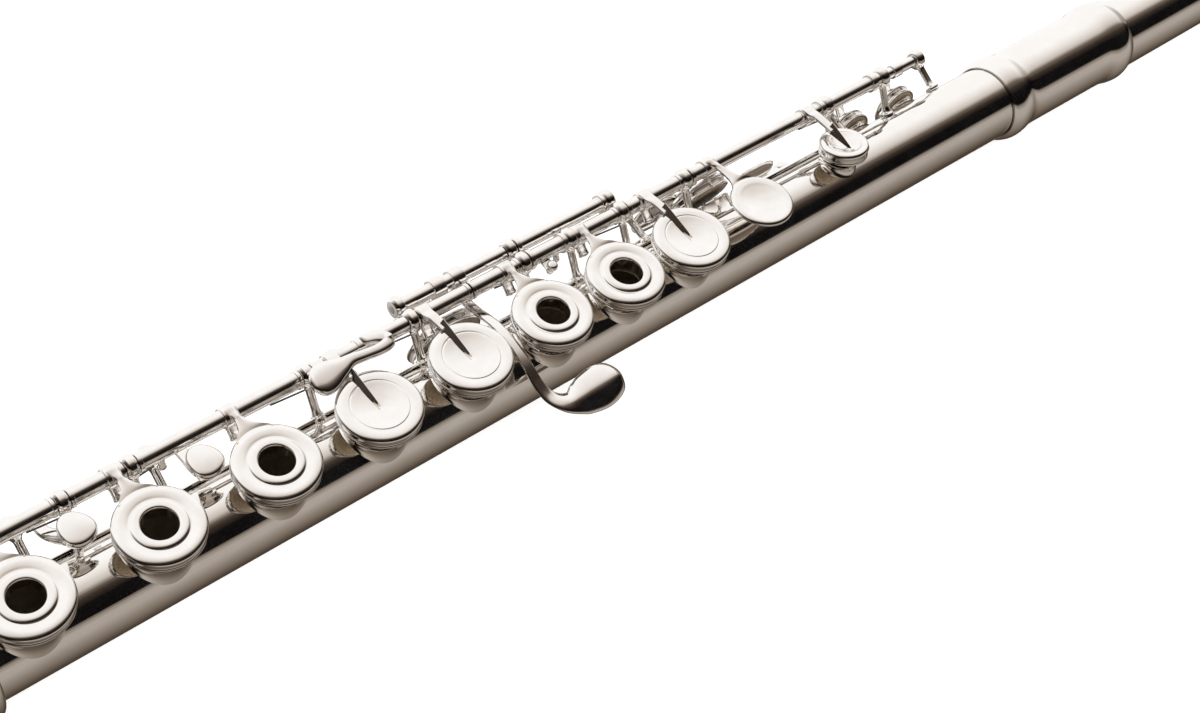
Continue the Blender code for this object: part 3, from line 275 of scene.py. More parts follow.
def polishedSilver(name, colours, roughness, grit, bumpHeight):
    # Sterling silver, buffed to a mirror: the eye sees hard-edged reflections, slightly warm, softened
    # where handling has left a haze. grit is the haze's size in millimetres.
    made, tree, shader = newMaterial(name)
    shader.inputs["Metallic"].default_value = 1.0
    place = addNode(tree, "ShaderNodeTexCoord").outputs["Object"]
    haze = addNode(
        tree, "ShaderNodeTexNoise", {"Scale": 1000 / grit, "Detail": 4.0, "Roughness": 0.6}, {"Vector": place}
    )
    tint = addNode(tree, "ShaderNodeValToRGB", None, {"Fac": haze.outputs["Fac"]})
    ramp(tint, [(0.3, colours[0]), (0.7, colours[1])])
    tree.links.new(tint.outputs["Color"], shader.inputs["Base Color"])
    gloss = addNode(
        tree,
        "ShaderNodeMapRange",
        {"From Min": 0.3, "From Max": 0.7, "To Min": roughness[0], "To Max": roughness[1]},
        {"Value": haze.outputs["Fac"]},
    )
    tree.links.new(gloss.outputs["Result"], shader.inputs["Roughness"])
    # Buffing lines about 0.2 mm apart, drawn coarser than the real ones so that they show
    stretched = addNode(tree, "ShaderNodeMapping", {"Scale": (0.3, 1.0, 1.0)}, {"Vector": place})
    lines = addNode(
        tree, "ShaderNodeTexNoise", {"Scale": 5000.0, "Detail": 2.0}, {"Vector": stretched.outputs["Vector"]}
    )
    bump = addNode(
        tree,
        "ShaderNodeBump",
        {"Strength": bumpHeight, "Distance": 0.00002},
        {"Height": lines.outputs["Fac"]},
    )
    tree.links.new(bump.outputs["Normal"], shader.inputs["Normal"])
    return made


def padSkinPaintedShade():
    # Felt under fish skin: matt, with fine wrinkles about 0.6 mm apart. Its tan is darkened and greyed below
    # the skin's own colour to paint in the shade that falls on the pads under the cups (painted shade).
    made, tree, shader = newMaterial("fishSkinOverFeltPaintedShade")
    place = addNode(tree, "ShaderNodeTexCoord").outputs["Object"]
    wrinkle = addNode(
        tree, "ShaderNodeTexNoise", {"Scale": 1600.0, "Detail": 5.0, "Roughness": 0.65}, {"Vector": place}
    )
    tint = addNode(tree, "ShaderNodeValToRGB", None, {"Fac": wrinkle.outputs["Fac"]})
    # Dark, greyed tan stops: painted shade of the cup over the pad, not the skin's own colour
    ramp(tint, [(0.3, "7d6c52"), (0.5, "96836a"), (0.75, "b09d80")])
    tree.links.new(tint.outputs["Color"], shader.inputs["Base Color"])
    shader.inputs["Roughness"].default_value = 0.45
    bump = addNode(
        tree, "ShaderNodeBump", {"Strength": 0.4, "Distance": 0.0001}, {"Height": wrinkle.outputs["Fac"]}
    )
    tree.links.new(bump.outputs["Normal"], shader.inputs["Normal"])
    return made


def naturalCork():
    # Natural cork: warm brown with darker pores a millimetre or so across
    made, tree, shader = newMaterial("naturalCork")
    place = addNode(tree, "ShaderNodeTexCoord").outputs["Object"]
    cells = addNode(tree, "ShaderNodeTexVoronoi", {"Scale": 900.0}, {"Vector": place})
    tint = addNode(tree, "ShaderNodeValToRGB", None, {"Fac": cells.outputs["Distance"]})
    ramp(tint, [(0.1, "6b4526"), (0.35, "a87a4b"), (0.8, "c0955f")])
    tree.links.new(tint.outputs["Color"], shader.inputs["Base Color"])
    shader.inputs["Roughness"].default_value = 0.85
    bump = addNode(
        tree, "ShaderNodeBump", {"Strength": 0.5, "Distance": 0.0002}, {"Height": cells.outputs["Distance"]}
    )
    tree.links.new(bump.outputs["Normal"], shader.inputs["Normal"])
    return made


mirrorSilver = polishedSilver("buffedSterlingSilver", ("fbf7f2", "fffdfa"), (0.04, 0.09), 9.0, 0.04)
keySilver = polishedSilver("handFinishedSilver", ("faf6f1", "fffdfb"), (0.06, 0.13), 4.0, 0.06)
boreSilver = polishedSilver("tarnishedSilver", ("8f7f6c", "a89984"), (0.30, 0.45), 6.0, 0.10)
# The film of tarnish in the bore is matt, so most of the metal reflection is lost
boreSilver.node_tree.nodes["Principled BSDF"].inputs["Metallic"].default_value = 0.35
rodSteel = polishedSilver("drawnStainlessSteel", ("b4b4b6", "cfcfd0"), (0.16, 0.26), 2.0, 0.10)
springSteel = polishedSilver("bluedSpringSteel", ("6d6a68", "8a8784"), (0.20, 0.30), 2.0, 0.05)
skin = padSkinPaintedShade()
cork = naturalCork()
print("materials made")


# ---- pieces ----
def makePiece(name, shells, finish, node, replaced=(), sharp=35.0):
    counts = np.cumsum([0] + [len(shell[0]) for shell in shells])
    points = np.vstack([shell[0] for shell in shells]) * 0.001
    points[:, 2] += axisHeight * 0.001
    faces = []
    for start, (_, quads, fans) in zip(counts, shells):
        faces += (quads + start).tolist()
        faces += (fans + start).tolist()
    mesh = bpy.data.meshes.new(name)
    mesh.from_pydata(points.tolist(), [], faces)
    mesh.shade_smooth()
    mesh.set_sharp_from_angle(angle=math.radians(sharp))
    mesh.materials.append(finish)
    made = bpy.data.objects.new(name, mesh)
    bpy.context.scene.collection.objects.link(made)
    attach(made, bodyOf[node])
    if replaced:
        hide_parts(*replaced)
    return made


def lineBore(target, radius):
    # Faces nearer to the axis than the radius get the duller silver of a bore that can't be buffed
    target.data.materials.append(boreSilver)
    middles = np.empty(len(target.data.polygons) * 3)
    target.data.polygons.foreach_get("center", middles)
    middles = middles.reshape(-1, 3) * 1000
    inside = np.hypot(middles[:, 1], middles[:, 2] - axisHeight) < radius
    target.data.polygons.foreach_set("material_index", inside.astype(np.int32))


def cutHoles(target, cutters):
    # Drilled right through with a Boolean, which is then applied
    counts = np.cumsum([0] + [len(shell[0]) for shell in cutters])
    points = np.vstack([shell[0] for shell in cutters]) * 0.001
    points[:, 2] += axisHeight * 0.001
    faces = []
    for start, (_, quads, fans) in zip(counts, cutters):
        faces += (quads + start).tolist() + (fans + start).tolist()
    mesh = bpy.data.meshes.new("drill")
    mesh.from_pydata(points.tolist(), [], faces)
    drill = bpy.data.objects.new("drill", mesh)
    bpy.context.scene.collection.objects.link(drill)
    step = target.modifiers.new("drill", "BOOLEAN")
    step.operation = "DIFFERENCE"
    step.solver = "EXACT"
    step.object = drill
    bpy.context.view_layer.update()
    graph = bpy.context.evaluated_depsgraph_get()
    result = bpy.data.meshes.new_from_object(target.evaluated_get(graph))
    target.modifiers.clear()
    target.data = result
    result.shade_smooth()
    result.set_sharp_from_angle(angle=math.radians(35))
    bpy.data.objects.remove(drill)


holes = {
    "key_d": (stationOf("key_d"), 0, 6.8),
    "key_e": (stationOf("key_e"), 0, 6.8),
    "key_f": (stationOf("key_f"), 0, 6.8),
    "key_f_sharp": (stationOf("key_f_sharp"), 0, 6.8),
    "key_lower_g": (stationOf("key_lower_g"), 0, 6.8),
    "key_g": (stationOf("key_g"), 0, 6.8),
    "key_a": (stationOf("key_a"), 0, 6.4),
    "key_bb": (stationOf("key_bb"), 0, 6.4),
    "key_thumb_b": (stationOf("key_thumb_b"), 75, 5.6),
    "key_g_sharp": (stationOf("key_lower_g") - 6.3, 90, 6.8),
    "key_c_sharp": (stationOf("key_c_sharp"), 12, 3.6),
    "key_trill_d": (stationOf("key_trill_d"), 105, 4.0),
    "key_trill_ds": (stationOf("key_trill_ds"), 105, 4.0),
}
footHoles = {
    "key_foot_ds": (stationOf("key_foot_ds"), 0, 6.8),
    "key_low_cs": (stationOf("key_low_cs"), 0, 6.8),
    "key_low_c": (stationOf("key_low_c"), 0, 6.8),
}


def chimney(station, degrees, radius, sides=80):
    # A drawn tone hole with a rolled rim. Each row is (extra radius, share of the way from the tube
    # to the rim, depth below the tube's surface); the foot of a row follows the round tube.
    rows = np.array(
        (
            (1.5, 0.0, 0.12),
            (0.95, 0.07, 0.0),
            (0.62, 0.22, 0.0),
            (0.45, 0.5, 0.0),
            (0.42, 0.76, 0.0),
            (0.62, 0.82, 0.0),
            (0.70, 0.89, 0.0),
            (0.62, 0.96, 0.0),
            (0.40, 1.0, 0.0),
            (0.16, 0.97, 0.0),
            (0.02, 0.88, 0.0),
            (0.02, 0.5, 0.0),
            (0.02, 0.0, 0.5),
            (0.7, 0.0, 0.5),
        )
    )
    turn = np.linspace(0, 2 * math.pi, sides, endpoint=False)
    across = (radius + rows[:, :1]) * np.sin(turn)
    along = (radius + rows[:, :1]) * np.cos(turn)
    reach = flute["tubeRadius"] - rows[:, 2:]
    foot = np.sqrt(np.maximum(reach**2 - across**2, 0.01))
    height = foot + (flute["rim"] - foot) * rows[:, 1:2]
    return solid(placed(np.stack((along, across, height), -1), outOfBore(station, degrees)), joined=True)


def ringTube(corners, radii, start, sides=144):
    # A turned tube whose section is a closed outline of (radius, distance from the start station)
    profile = rounded(corners, radii)
    return turned(profile, alongBore(start), sides, joined=True)


def tubes():
    outer, inner = flute["tubeRadius"], flute["boreRadius"]
    top, end = flute["bodyTop"], flute["bodyShoulder"] + flute["tenon"]
    corners = [(inner, 0), (outer, 0), (outer, end - top), (inner, end - top), (inner, 1)]
    body = makePiece(
        "bodyTube",
        [ringTube(corners, (0, 0.1, 0.1, 0, 0), top)],
        mirrorSilver,
        "body_tube",
        ("body_tube",),
    )
    cutHoles(
        body,
        [
            turned([(radius, 0), (radius, 13)], outOfBore(station, degrees, 5), 80)
            for station, degrees, radius in holes.values()
        ],
    )
    lineBore(body, 9.7)
    makePiece("drawnToneHoles", [chimney(*hole) for hole in holes.values()], mirrorSilver, "body_tube")

    # The barrel: a socket that swells at each end
    socket, wall, bead = 10.02, 10.68, 11.7
    length = flute["barrelFoot"] - flute["barrelTop"]
    half = [
        (socket, 0), (10.3, 0), (11.0, 0.8), (bead, 3.2), (bead - 0.2, 6.0), (wall + 0.1, 8.8), (wall, 11.6)
    ]
    corners = half + [(radius, length - place) for radius, place in half[::-1]] + [(socket, length - 1)]
    radii = [0, 0.1, 0.8, 1.8, 1.8, 1.8, 1.6]
    makePiece(
        "barrelTube",
        [ringTube(corners, radii + radii[::-1] + [0], flute["barrelTop"])],
        mirrorSilver,
        "barrel",
        ("barrel",),
    )

    # The foot's tube, with its socket ring at one end and a bead at the other
    start = flute["footStart"]
    length = stationOf("key_low_c") + 37.0 - start
    ring = 12.4
    corners = [(10.02, 0), (ring - 0.9, 0), (ring, 0.9), (ring, 4.6), (ring - 0.5, 5.2), (10.9, 6.8)]
    corners += [(10.62, 8.0), (10.62, 15.5), (outer, 17.3), (outer, length - 6.0), (11.3, length - 4.4)]
    corners += [(11.7, length - 3.4), (11.7, length - 0.6), (11.2, length), (inner, length), (inner, 15.6)]
    corners += [(10.02, 15.5)]
    radii = [0, 0.7, 0.8, 0.6, 0.4, 0.8, 0.6, 0.6, 0.6, 0.8, 0.8, 0.5, 0.5, 0.4, 0, 0, 0]
    foot = makePiece("footTube", [ringTube(corners, radii, start)], mirrorSilver, "foot_tube", ("foot_tube",))
    cutHoles(
        foot,
        [
            turned([(radius, 0), (radius, 13)], outOfBore(station, degrees, 5), 80)
            for station, degrees, radius in footHoles.values()
        ],
    )
    lineBore(foot, 9.7)
    makePiece("footToneHoles", [chimney(*hole) for hole in footHoles.values()], mirrorSilver, "foot_tube")
    print("tubes made")


# ---- posts, ribs and steels ----
postStyle = {"headRadius": 2.8, "headHalf": 1.4, "chamfer": 0.75, "stalk": 0.95, "foot": 1.9}


def post(station, place, degrees):
    # A stalk turned like a baluster, from the tube out to the rod, and a chamfered barrel on top
    style = postStyle
    foot = placed(np.array((0, 0, flute["tubeRadius"] + 0.3)), outOfBore(station, degrees))
    head = np.array((xAt(station), *place))
    length = np.linalg.norm(head - foot)
    corners = [(0.4, -0.2), (style["foot"], -0.2), (style["foot"], 0.5), (1.25, 0.9), (style["stalk"], 1.8)]
    corners += [(style["stalk"], length - 2.6), (1.5, length - 1.9), (1.3, length - 0.6)]
    stalk = turned(rounded(corners, (0, 0.1, 0.3, 0.4, 0.8, 0.6, 0.5, 0)), axes(foot, head - foot), 28)
    return [stalk, postHead(station, place)]


def postHead(station, place):
    radius, half, chamfer = postStyle["headRadius"], postStyle["headHalf"], postStyle["chamfer"]
    corners = [(0.98, -half), (radius - chamfer, -half), (radius, -half + chamfer), (radius, half - chamfer)]
    corners += [(radius - chamfer, half), (0.98, half)]
    return turned(
        rounded(corners, (0, 0.12, 0.2, 0.2, 0.12, 0), 4), alongBore(station, place), 44, joined=True
    )


def neck(station, first, second, radius=1.15):
    # A short turned bar between two rods' heads
    start, end = np.array((xAt(station), *first)), np.array((xAt(station), *second))
    length = np.linalg.norm(end - start)
    corners = [(radius * 1.2, 0.5), (radius, length * 0.45), (radius * 1.2, length - 0.5)]
    return turned(rounded(corners, (0, 1.0, 0)), axes(start, end - start), 28)


def strap(low, high, degrees, width=2.8, thickness=0.7):
    # A flat rib with rounded ends, lying on the tube
    turn = math.radians(degrees)
    out = np.array((0, math.sin(turn), math.cos(turn)))
    seat = out * (flute["tubeRadius"] + 0.1 + thickness / 2)
    rows = [(xAt(at), seat[1], seat[2], width, thickness) for at in np.linspace(low, high, 4)]
    return bar(rows, (0, math.cos(turn), -math.sin(turn)), 24, 5.0, 40, (1.2, 1.2))


def postsAndRibs():
    bb, a, g = stationOf("key_bb"), stationOf("key_a"), stationOf("key_g")
    lowerG, fSharp, e, d = (stationOf(name) for name in ("key_lower_g", "key_f_sharp", "key_e", "key_d"))
    cSharp, trillD, trillDs = (stationOf(name) for name in ("key_c_sharp", "key_trill_d", "key_trill_ds"))
    f = stationOf("key_f")
    main = [trillD - 6.0, cSharp - 6.0, bb - 11.7, (bb + a) / 2 - 1.6, a + 4.2, g - 4.0]
    main += [lowerG + 4.5, fSharp + 8.0, e - 3.0, e + 12.6, d + 7.5]
    rear = (main[3], main[5], main[6])
    touches = (f + 11.8, e + 13.6)
    trillPosts = (trillD + 9.0, main[3] - 6.0, main[7] - 11.0)
    shaftPosts = (touches[0] + 6.2, touches[1] + 8.0)
    thumb = stationOf("key_thumb_b")
    gs = lowerG - 6.3
    mainRod, rearRod, trillRod = flute["mainRod"], flute["rearRod"], flute["trillRod"]

    def mainPosts(spots):
        return [shell for spot in spots for shell in post(spot, mainRod, 58)]

    def rearPosts(spots):
        return [shell for spot in spots for shell in (postHead(spot, rearRod), neck(spot, mainRod, rearRod))]

    def trillPost(spot, degrees=58):
        return post(spot, trillRod, degrees)

    groups = (
        ("endPost", "end_post", [strap(main[0] - 1.5, main[0] + 1.5, 58), *mainPosts(main[:1])]),
        (
            "ribUpper",
            "rib_upper",
            [strap(trillPosts[0] - 1.5, thumb - 6.4, 58), *mainPosts(main[1:2]), *trillPost(trillPosts[0])],
        ),
        (
            "ribMiddle",
            "rib_middle",
            [
                strap(thumb + 6.4, gs - 7.6, 58),
                *mainPosts(main[2:6]),
                *rearPosts(rear[:2]),
                *trillPost(trillPosts[1]),
            ],
        ),
        (
            "ribLower",
            "rib_lower",
            [
                strap(gs + 7.6, main[-1] + 1.5, 58),
                *mainPosts(main[6:]),
                *rearPosts(rear[2:]),
                *trillPost(trillPosts[2]),
                *trillPost(shaftPosts[0], 78),
                *trillPost(shaftPosts[1], 78),
            ],
        ),
        (
            "trillEndPost",
            "trill_end_post",
            [strap(trillDs - 10.0, trillDs - 7.0, 72), *post(trillDs - 8.5, trillRod, 72)],
        ),
        (
            "thumbRib",
            "thumb_rib",
            [
                strap(cSharp - 1.0, thumb + 21.5, 124),
                *post(cSharp + 0.5, flute["thumbRod"], 124),
                *post(thumb + 20.0, flute["thumbRod"], 124),
            ],
        ),
    )
    for name, node, shells in groups:
        makePiece(name, shells, mirrorSilver, node, (node,))
    springs = [
        needle(main[at], length)
        for at, length in ((1, 9.0), (3, 8.0), (5, 8.0), (6, 9.0), (7, 9.0), (8, -5.4), (9, 8.0))
    ]
    makePiece("needleSprings", springs, springSteel, "rib_middle", ())

    ds, lowCs, lowC = stationOf("key_foot_ds"), stationOf("key_low_cs"), stationOf("key_low_c")
    feet = (ds - 4.0, ds + 11.5, lowCs + 12.5, lowC + 12.5)
    shells = [strap(feet[0] - 1.5, feet[-1] + 1.5, -58)]
    shells += [shell for spot in feet for shell in post(spot, flute["footRod"], -58)]
    makePiece("footRib", shells, mirrorSilver, "foot_rib", ("foot_rib",))

    steels = (
        ("steelUpper", "steel_upper", main[0] - 1.4, main[6] - 0.15, mainRod),
        ("steelLower", "steel_lower", main[6] + 0.15, main[-1] + 1.4, mainRod),
        ("steelRear", "steel_rear", rear[0] - 1.4, rear[-1] + 1.4, rearRod),
        ("steelThumb", "steel_thumb", cSharp - 0.9, thumb + 21.4, flute["thumbRod"]),
        ("steelFoot", "steel_foot", feet[0] - 1.4, feet[-1] + 1.4, flute["footRod"]),
    )
    for name, node, low, high, place in steels:
        makePiece(name, [tube(low, high, 1.0, place, 0.2, 32)], rodSteel, node, (node,))
    print("posts, ribs and steels made")
    return main, rear, shaftPosts, touches, feet


# ---- cups, pads and arms ----
cupStyle = {
    "open": {
        "corners": [
            (3.75, 0.5), (3.75, 3.4), (4.05, 3.74), (5.3, 3.78), (5.85, 3.45), (5.95, 3.24), (6.2, 3.22),
            (6.9, 3.46), (8.0, 3.62), (8.95, 3.42), (9.5, 2.95), (9.55, 2.5), (9.2, 2.3), (9.15, 1.15),
            (9.42, 1.0), (9.42, 0.45), (9.0, 0.45), (8.95, 2.65), (4.6, 2.65), (4.6, 0.5), (4.1, 0.5),
        ],
        "radii": [
            0.1, 0.3, 0.35, 0.5, 0.25, 0.1, 0.15, 0.7, 1.0, 0.7, 0.4, 0.2, 0.15, 0.25, 0.15, 0.15, 0.1, 0.2,
            0.2, 0.1, 0
        ],
    },
    "plain": {
        "corners": [
            (0.04, 2.5), (0.6, 2.58), (2.6, 2.8), (4.6, 3.12), (6.2, 3.52), (6.46, 3.38), (6.72, 3.52),
            (7.8, 3.64), (8.9, 3.54), (9.5, 3.0), (9.55, 2.5), (9.2, 2.3), (9.15, 1.15), (9.42, 1.0),
            (9.42, 0.45), (9.0, 0.45), (8.95, 2.3), (0.04, 2.3),
        ],
        "radii": [0, 0.3, 1.0, 1.0, 0.1, 0.12, 0.1, 0.6, 0.8, 0.5, 0.3, 0.15, 0.25, 0.15, 0.15, 0.1, 0.2, 0],
    },
}


def cup(style, radius, frameAxes):
    # The section of a 9.55 mm cup, narrowed beyond its finger ring, or all over on a closed one
    corners = np.array(cupStyle[style]["corners"])
    if style == "open":
        outer = corners[:, 0] > 6.0
        corners[outer, 0] = 6.0 + (corners[outer, 0] - 6.0) * (radius - 6.0) / 3.55
    else:
        corners[:, 0] *= radius / 9.55
    profile = rounded(corners, cupStyle[style]["radii"], 6)
    return turned(profile, frameAxes, 96, joined=style == "open")


def pad(name, node, radius, frameAxes, pierced, swing):
    # A felt ring or disc with a soft edge, held inside the cup
    outer = radius - 0.62
    if pierced:
        corners = [(4.75, 2.4), (4.75, 0.14), (outer, 0.14), (outer, 2.4)]
        shell = turned(rounded(corners, (0, 0.3, 0.5, 0)), frameAxes, 72, joined=True)
    else:
        corners = [(0.1, 0.16), (outer, 0.14), (outer, 2.4), (0.1, 2.4)]
        shell = turned(rounded(corners, (0, 0.5, 0, 0)), frameAxes, 72)
    makePiece(name, swung([shell], *swing), skin, node, (node,))


def tailArm(x, rootX, edge, rod=None, tailHalf=4.5, neckHalf=0.95, lift=14.9):
    # An arm over the rod that widens like a fish's tail onto the cup's edge. The first parameter runs
    # from behind the rod to the cup, the second across; the ridge of the neck turns into a hollow.
    rodY, rodZ = rod or flute["mainRod"]
    back = 1 if rodY > 0 else -1
    rows, columns = 40, 17
    along = np.linspace(0, 1, rows)
    knots = [(back * (abs(rodY) + 1.5), rodZ + 1.0, 1.55), (back * (abs(rodY) + 0.4), rodZ + 2.45, 1.5)]
    knots += [(back * (abs(rodY) - 1.4), rodZ + 2.35, 1.15), (back * (abs(rodY) - 3.0), lift + 0.1, neckHalf)]
    knots += [(back * (edge + 1.4), lift + 0.02, tailHalf * 0.45), (back * edge, lift, tailHalf)]
    curve = smoothed(knots, rows)
    across = np.linspace(-1, 1, columns)
    half = curve[:, 2:]
    middle = (rootX + (x - rootX) * along**1.5)[:, None]
    flare = np.clip((along - 0.55) / 0.45, 0, 1)[:, None]
    offset = middle + half * across - x
    sweep = np.sqrt(np.maximum(edge**2 - offset**2, 0)) - edge
    y = curve[:, :1] + back * sweep * flare
    crown = 0.45 - 0.95 * flare
    top = curve[:, 1:2] + crown * (1 - across**2) - 0.1
    bottom = curve[:, 1:2] - 0.85 + 0.1 * across**2
    upper = np.stack((middle + half * across, y + 0 * across, top), -1)
    lower = np.stack((middle + half * across * 0.96, y + 0 * across, bottom + 0 * top), -1)
    return solid(np.concatenate((upper, lower[:, ::-1]), axis=1))


def pointArm(x, rootX, rim, rod=None, dishHeight=14.22, width=2.5, crest=2.1):
    # A strap over the rod, then a two-faced wedge that narrows to the middle of the cup
    rodY, rodZ = rod or flute["mainRod"]
    back = 1 if rodY > 0 else -1
    far = abs(rodY)
    lift = flute["rim"] + 3.62
    rows = [
        (rootX, back * (far + 1.5), rodZ + 1.0, 2.9, 0.8),
        (rootX, back * (far + 0.4), rodZ + 2.4, 3.3, 1.0),
        (rootX, back * (far - 1.7), rodZ + 2.6, 2.9, 1.0),
        (rootX + (x - rootX) * 0.3, back * (far - 3.6), lift + 0.55, 2.4, 1.0),
        (rootX + (x - rootX) * 0.6, back * (rim - 0.6), lift + 0.35, 2.4, 1.0),
    ]
    plate = bar(rows, (1, 0, 0), 24, 4.0, 40, (0.5, 0.3))
    share = np.linspace(0, 1, 24)[:, None]
    span = (1 - share) ** 0.85
    middle = rootX + (x - rootX) * (0.45 + 0.55 * share)
    half = 0.12 + (width / 2 - 0.12) * span
    base = lift - 0.25 + (dishHeight - lift + 0.2) * share
    ridge = base + 0.15 + crest * span
    y = back * (rim + 1.1) * (1 - share)
    xs = np.hstack((middle - half, middle - half * 0.9, middle + half * 0.30, middle + half * 0.42,
                    middle + half,
                    middle + half))
    zs = np.hstack((base, base + 0.12, ridge, ridge, base + 0.12, base))
    ys = np.hstack([y] * 6)
    return [plate, solid(np.stack((xs, ys, zs), -1))]


def collar(low, high, place, radius=2.45):
    return tube(low, high, radius, place, 0.25)


def catch(station, place, degrees, reach=4.4, width=1.8):
    # A small upright lug on a hinge tube, with a rounded end, for a spring to press on
    turn = math.radians(degrees)
    out = np.array((0, math.sin(turn), math.cos(turn)))
    start = np.array((xAt(station), *place))
    rows = [(*(start + out * reachAt), wide, 1.0) for reachAt, wide in
            ((1.2, width * 1.3), (reach * 0.55, width * 0.85), (reach, width))]
    return bar(rows, (1, 0, 0), 16, 3.0, 16, (0.3, 0.6))


def mainKey(name, low, high, radius, style, lugs, notch=False):
    station = stationOf(name)
    x = xAt(station)
    rodY, rodZ = flute["mainRod"]
    swing = (flute["mainRod"], -flute["openAngle"])
    rimPlane = outOfBore(station, 0, flute["rim"])
    shells = [cup(style, radius, rimPlane)]
    hinge = [tube(low + runningGap, high - runningGap, flute["hinge"], flute["mainRod"])]
    hinge += [
        collar(low + runningGap, low + 1.1, flute["mainRod"], 2.2),
        collar(high - 1.1, high - runningGap, flute["mainRod"], 2.2),
    ]
    if style == "open":
        shells.append(tailArm(x, x - 1.2, radius - 0.55))
    else:
        shells += pointArm(x, x - 1.6, radius - 0.6)
    hinge += [collar(station + 1.2 - 1.7, station + 1.2 + 1.7, flute["mainRod"])]
    if notch:
        # The stop tab on the head side of the rim, cut off straight
        rows = [(x + radius - 1.6, 1.5, flute["rim"] + 2.9, 2.4, 0.9),
                (x + radius - 0.7, 1.2, flute["rim"] + 2.9, 2.8, 0.9),
                (x + radius + 0.15, 0.9, flute["rim"] + 2.9, 3.0, 0.8)]
        shells.append(bar(rows, (0, 1, 0), 16, 6.0, 12))
    hinge += [catch(at, flute["mainRod"], turn) for at, turn in lugs]
    hinge.append(keyFoot(station + 1.2, flute["mainRod"]))
    makePiece(
        name.replace("key_", "key").replace("_", ""), swung(shells + hinge, *swing), keySilver, name, (name,)
    )
    pad("pad" + name[4:], "pad_" + name[4:], radius, rimPlane, style == "open", swing)


def needle(station, length, place=(14.2, 9.2)):
    # A spring wire from a post's stalk, along the rod to a key's catch
    rows = [(xAt(station + away), place[0] + 0.4 * away / length, place[1] + 0.5 * away / length, 0.44, 0.44)
            for away in (0.0, length * 0.5, length)]
    return bar(rows, (0, 1, 0), 10, 2.0, 16)


def adjuster(station, place, reach=4.6):
    # A tab on a hinge tube that carries an adjusting screw with a turned head
    x = xAt(station)
    rows = [(x, place[0] - 1.0, place[1] - 1.0, 2.6, 1.0),
            (x, place[0] - reach * 0.6, place[1] - 1.1, 2.4, 0.9),
            (x, place[0] - reach, place[1] - 1.0, 2.8, 0.9)]
    corners = [(0.05, 1.9), (0.9, 1.85), (1.3, 1.5), (1.3, 0.5), (0.8, 0.3), (0.8, -1.6), (0.05, -1.6)]
    screw = turned(rounded(corners, (0, 0.3, 0.3, 0.2, 0.1, 0.2, 0), 4),
                   (np.array((x, place[0] - reach + 0.6, place[1] - 0.9)), np.eye(3)), 32)
    return [bar(rows, (1, 0, 0), 20, 4.0, 20, (0.3, 0.8)), screw]


def keyFoot(station, place):
    # The foot under a key's arm, which stops on the rib
    x = xAt(station)
    rows = [(x, place[0] - 0.6, place[1] - 1.2, 3.0, 1.1), (x, place[0] - 2.2, place[1] - 3.0, 2.6, 1.0),
            (x, place[0] - 3.8, place[1] - 4.2, 3.0, 1.0)]
    return bar(rows, (1, 0, 0), 20, 4.0, 20, (0.3, 0.6))


def mainKeys(main):
    half = 1.4
    seam = (stationOf("key_g") + stationOf("key_lower_g")) / 2
    fSeam = stationOf("key_f_sharp") - 7.0
    s = stationOf
    rows = (
        ("key_bb", main[2] + half, main[3] - half, 9.45, "plain", [(s("key_bb") + 6, 150)], False),
        ("key_a", main[3] + half, main[4] - half, 9.45, "open", [(s("key_a") - 6, 150)], False),
        ("key_g", main[5] + half, seam, 9.45, "open", [(s("key_g") + 7, 150)], False),
        ("key_lower_g", seam, main[6] - half, 9.55, "plain", [(s("key_lower_g") - 1, -150)], False),
        ("key_f_sharp", fSeam, main[7] - half, 9.55, "plain", [(s("key_f_sharp") + 5, 150)], False),
        (
            "key_f", main[7] + half, main[8] - half, 9.55, "open",
            [(s("key_f") - 6, 150), (s("key_f") + 18, -150)], False,
        ),
        ("key_e", main[8] + half, main[9] - half, 9.55, "open", [(s("key_e") + 7, 150)], True),
        (
            "key_d", main[9] + half, main[10] - half, 9.55, "open",
            [(s("key_d") - 6, 150), (s("key_d") + 4, -150)], True,
        ),
    )
    for row in rows:
        mainKey(*row)
    print("main keys made")
    return fSeam


def cSharpKey(main):
    low, high = main[1] + 1.4, main[2] - 1.4
    station, touch = stationOf("key_c_sharp"), 275.1
    place = flute["mainRod"]
    swing = (place, -flute["openAngle"])
    rimPlane = outOfBore(station, 12, flute["rim"])
    x, touchX = xAt(station), xAt(touch)
    shells = [cup("plain", 6.3, rimPlane), *pointArm(x, x - 1.2, 7.0, dishHeight=14.1, width=2.0)]
    # The first finger's touch: a shallow dish with a rolled edge
    edge = 7.8
    corners = [
        (0.05, 1.2), (edge * 0.3, 1.28), (edge * 0.62, 1.75), (edge * 0.72, 1.98), (edge * 0.92, 2.1),
        (edge, 1.6), (edge, 1.0),
    ]
    corners += [(edge * 0.9, 0.3), (edge * 0.4, 0.1), (0.05, 0.1)]
    dish = turned(rounded(corners, (0, 1.2, 0.8, 0.4, 0.5, 0.4, 0.5, 1.0, 1.0, 0), 6),
                  (np.array((touchX, -0.6, flute["rim"] + 1.8)), np.eye(3)), 96)
    shells += [dish, tailArm(touchX, touchX - 3.3, edge - 0.6, tailHalf=3.6, lift=flute["rim"] + 3.7)]
    shells += [
        tube(low + runningGap, high - runningGap, flute["hinge"], place),
        collar(low + runningGap, low + 1.6, place),
        collar(high - 1.2, high - runningGap, place),
    ]
    shells += [collar(touch + 1.6, touch + 5.0, place), collar(station - 0.3, station + 2.9, place)]
    shells += [catch(stationOf("key_c_sharp") + 16, place, 150)]
    makePiece("keyCsharp", swung(shells, *swing), keySilver, "key_c_sharp", ("key_c_sharp",))
    pad("padCsharp", "pad_c_sharp", 6.3, rimPlane, False, swing)


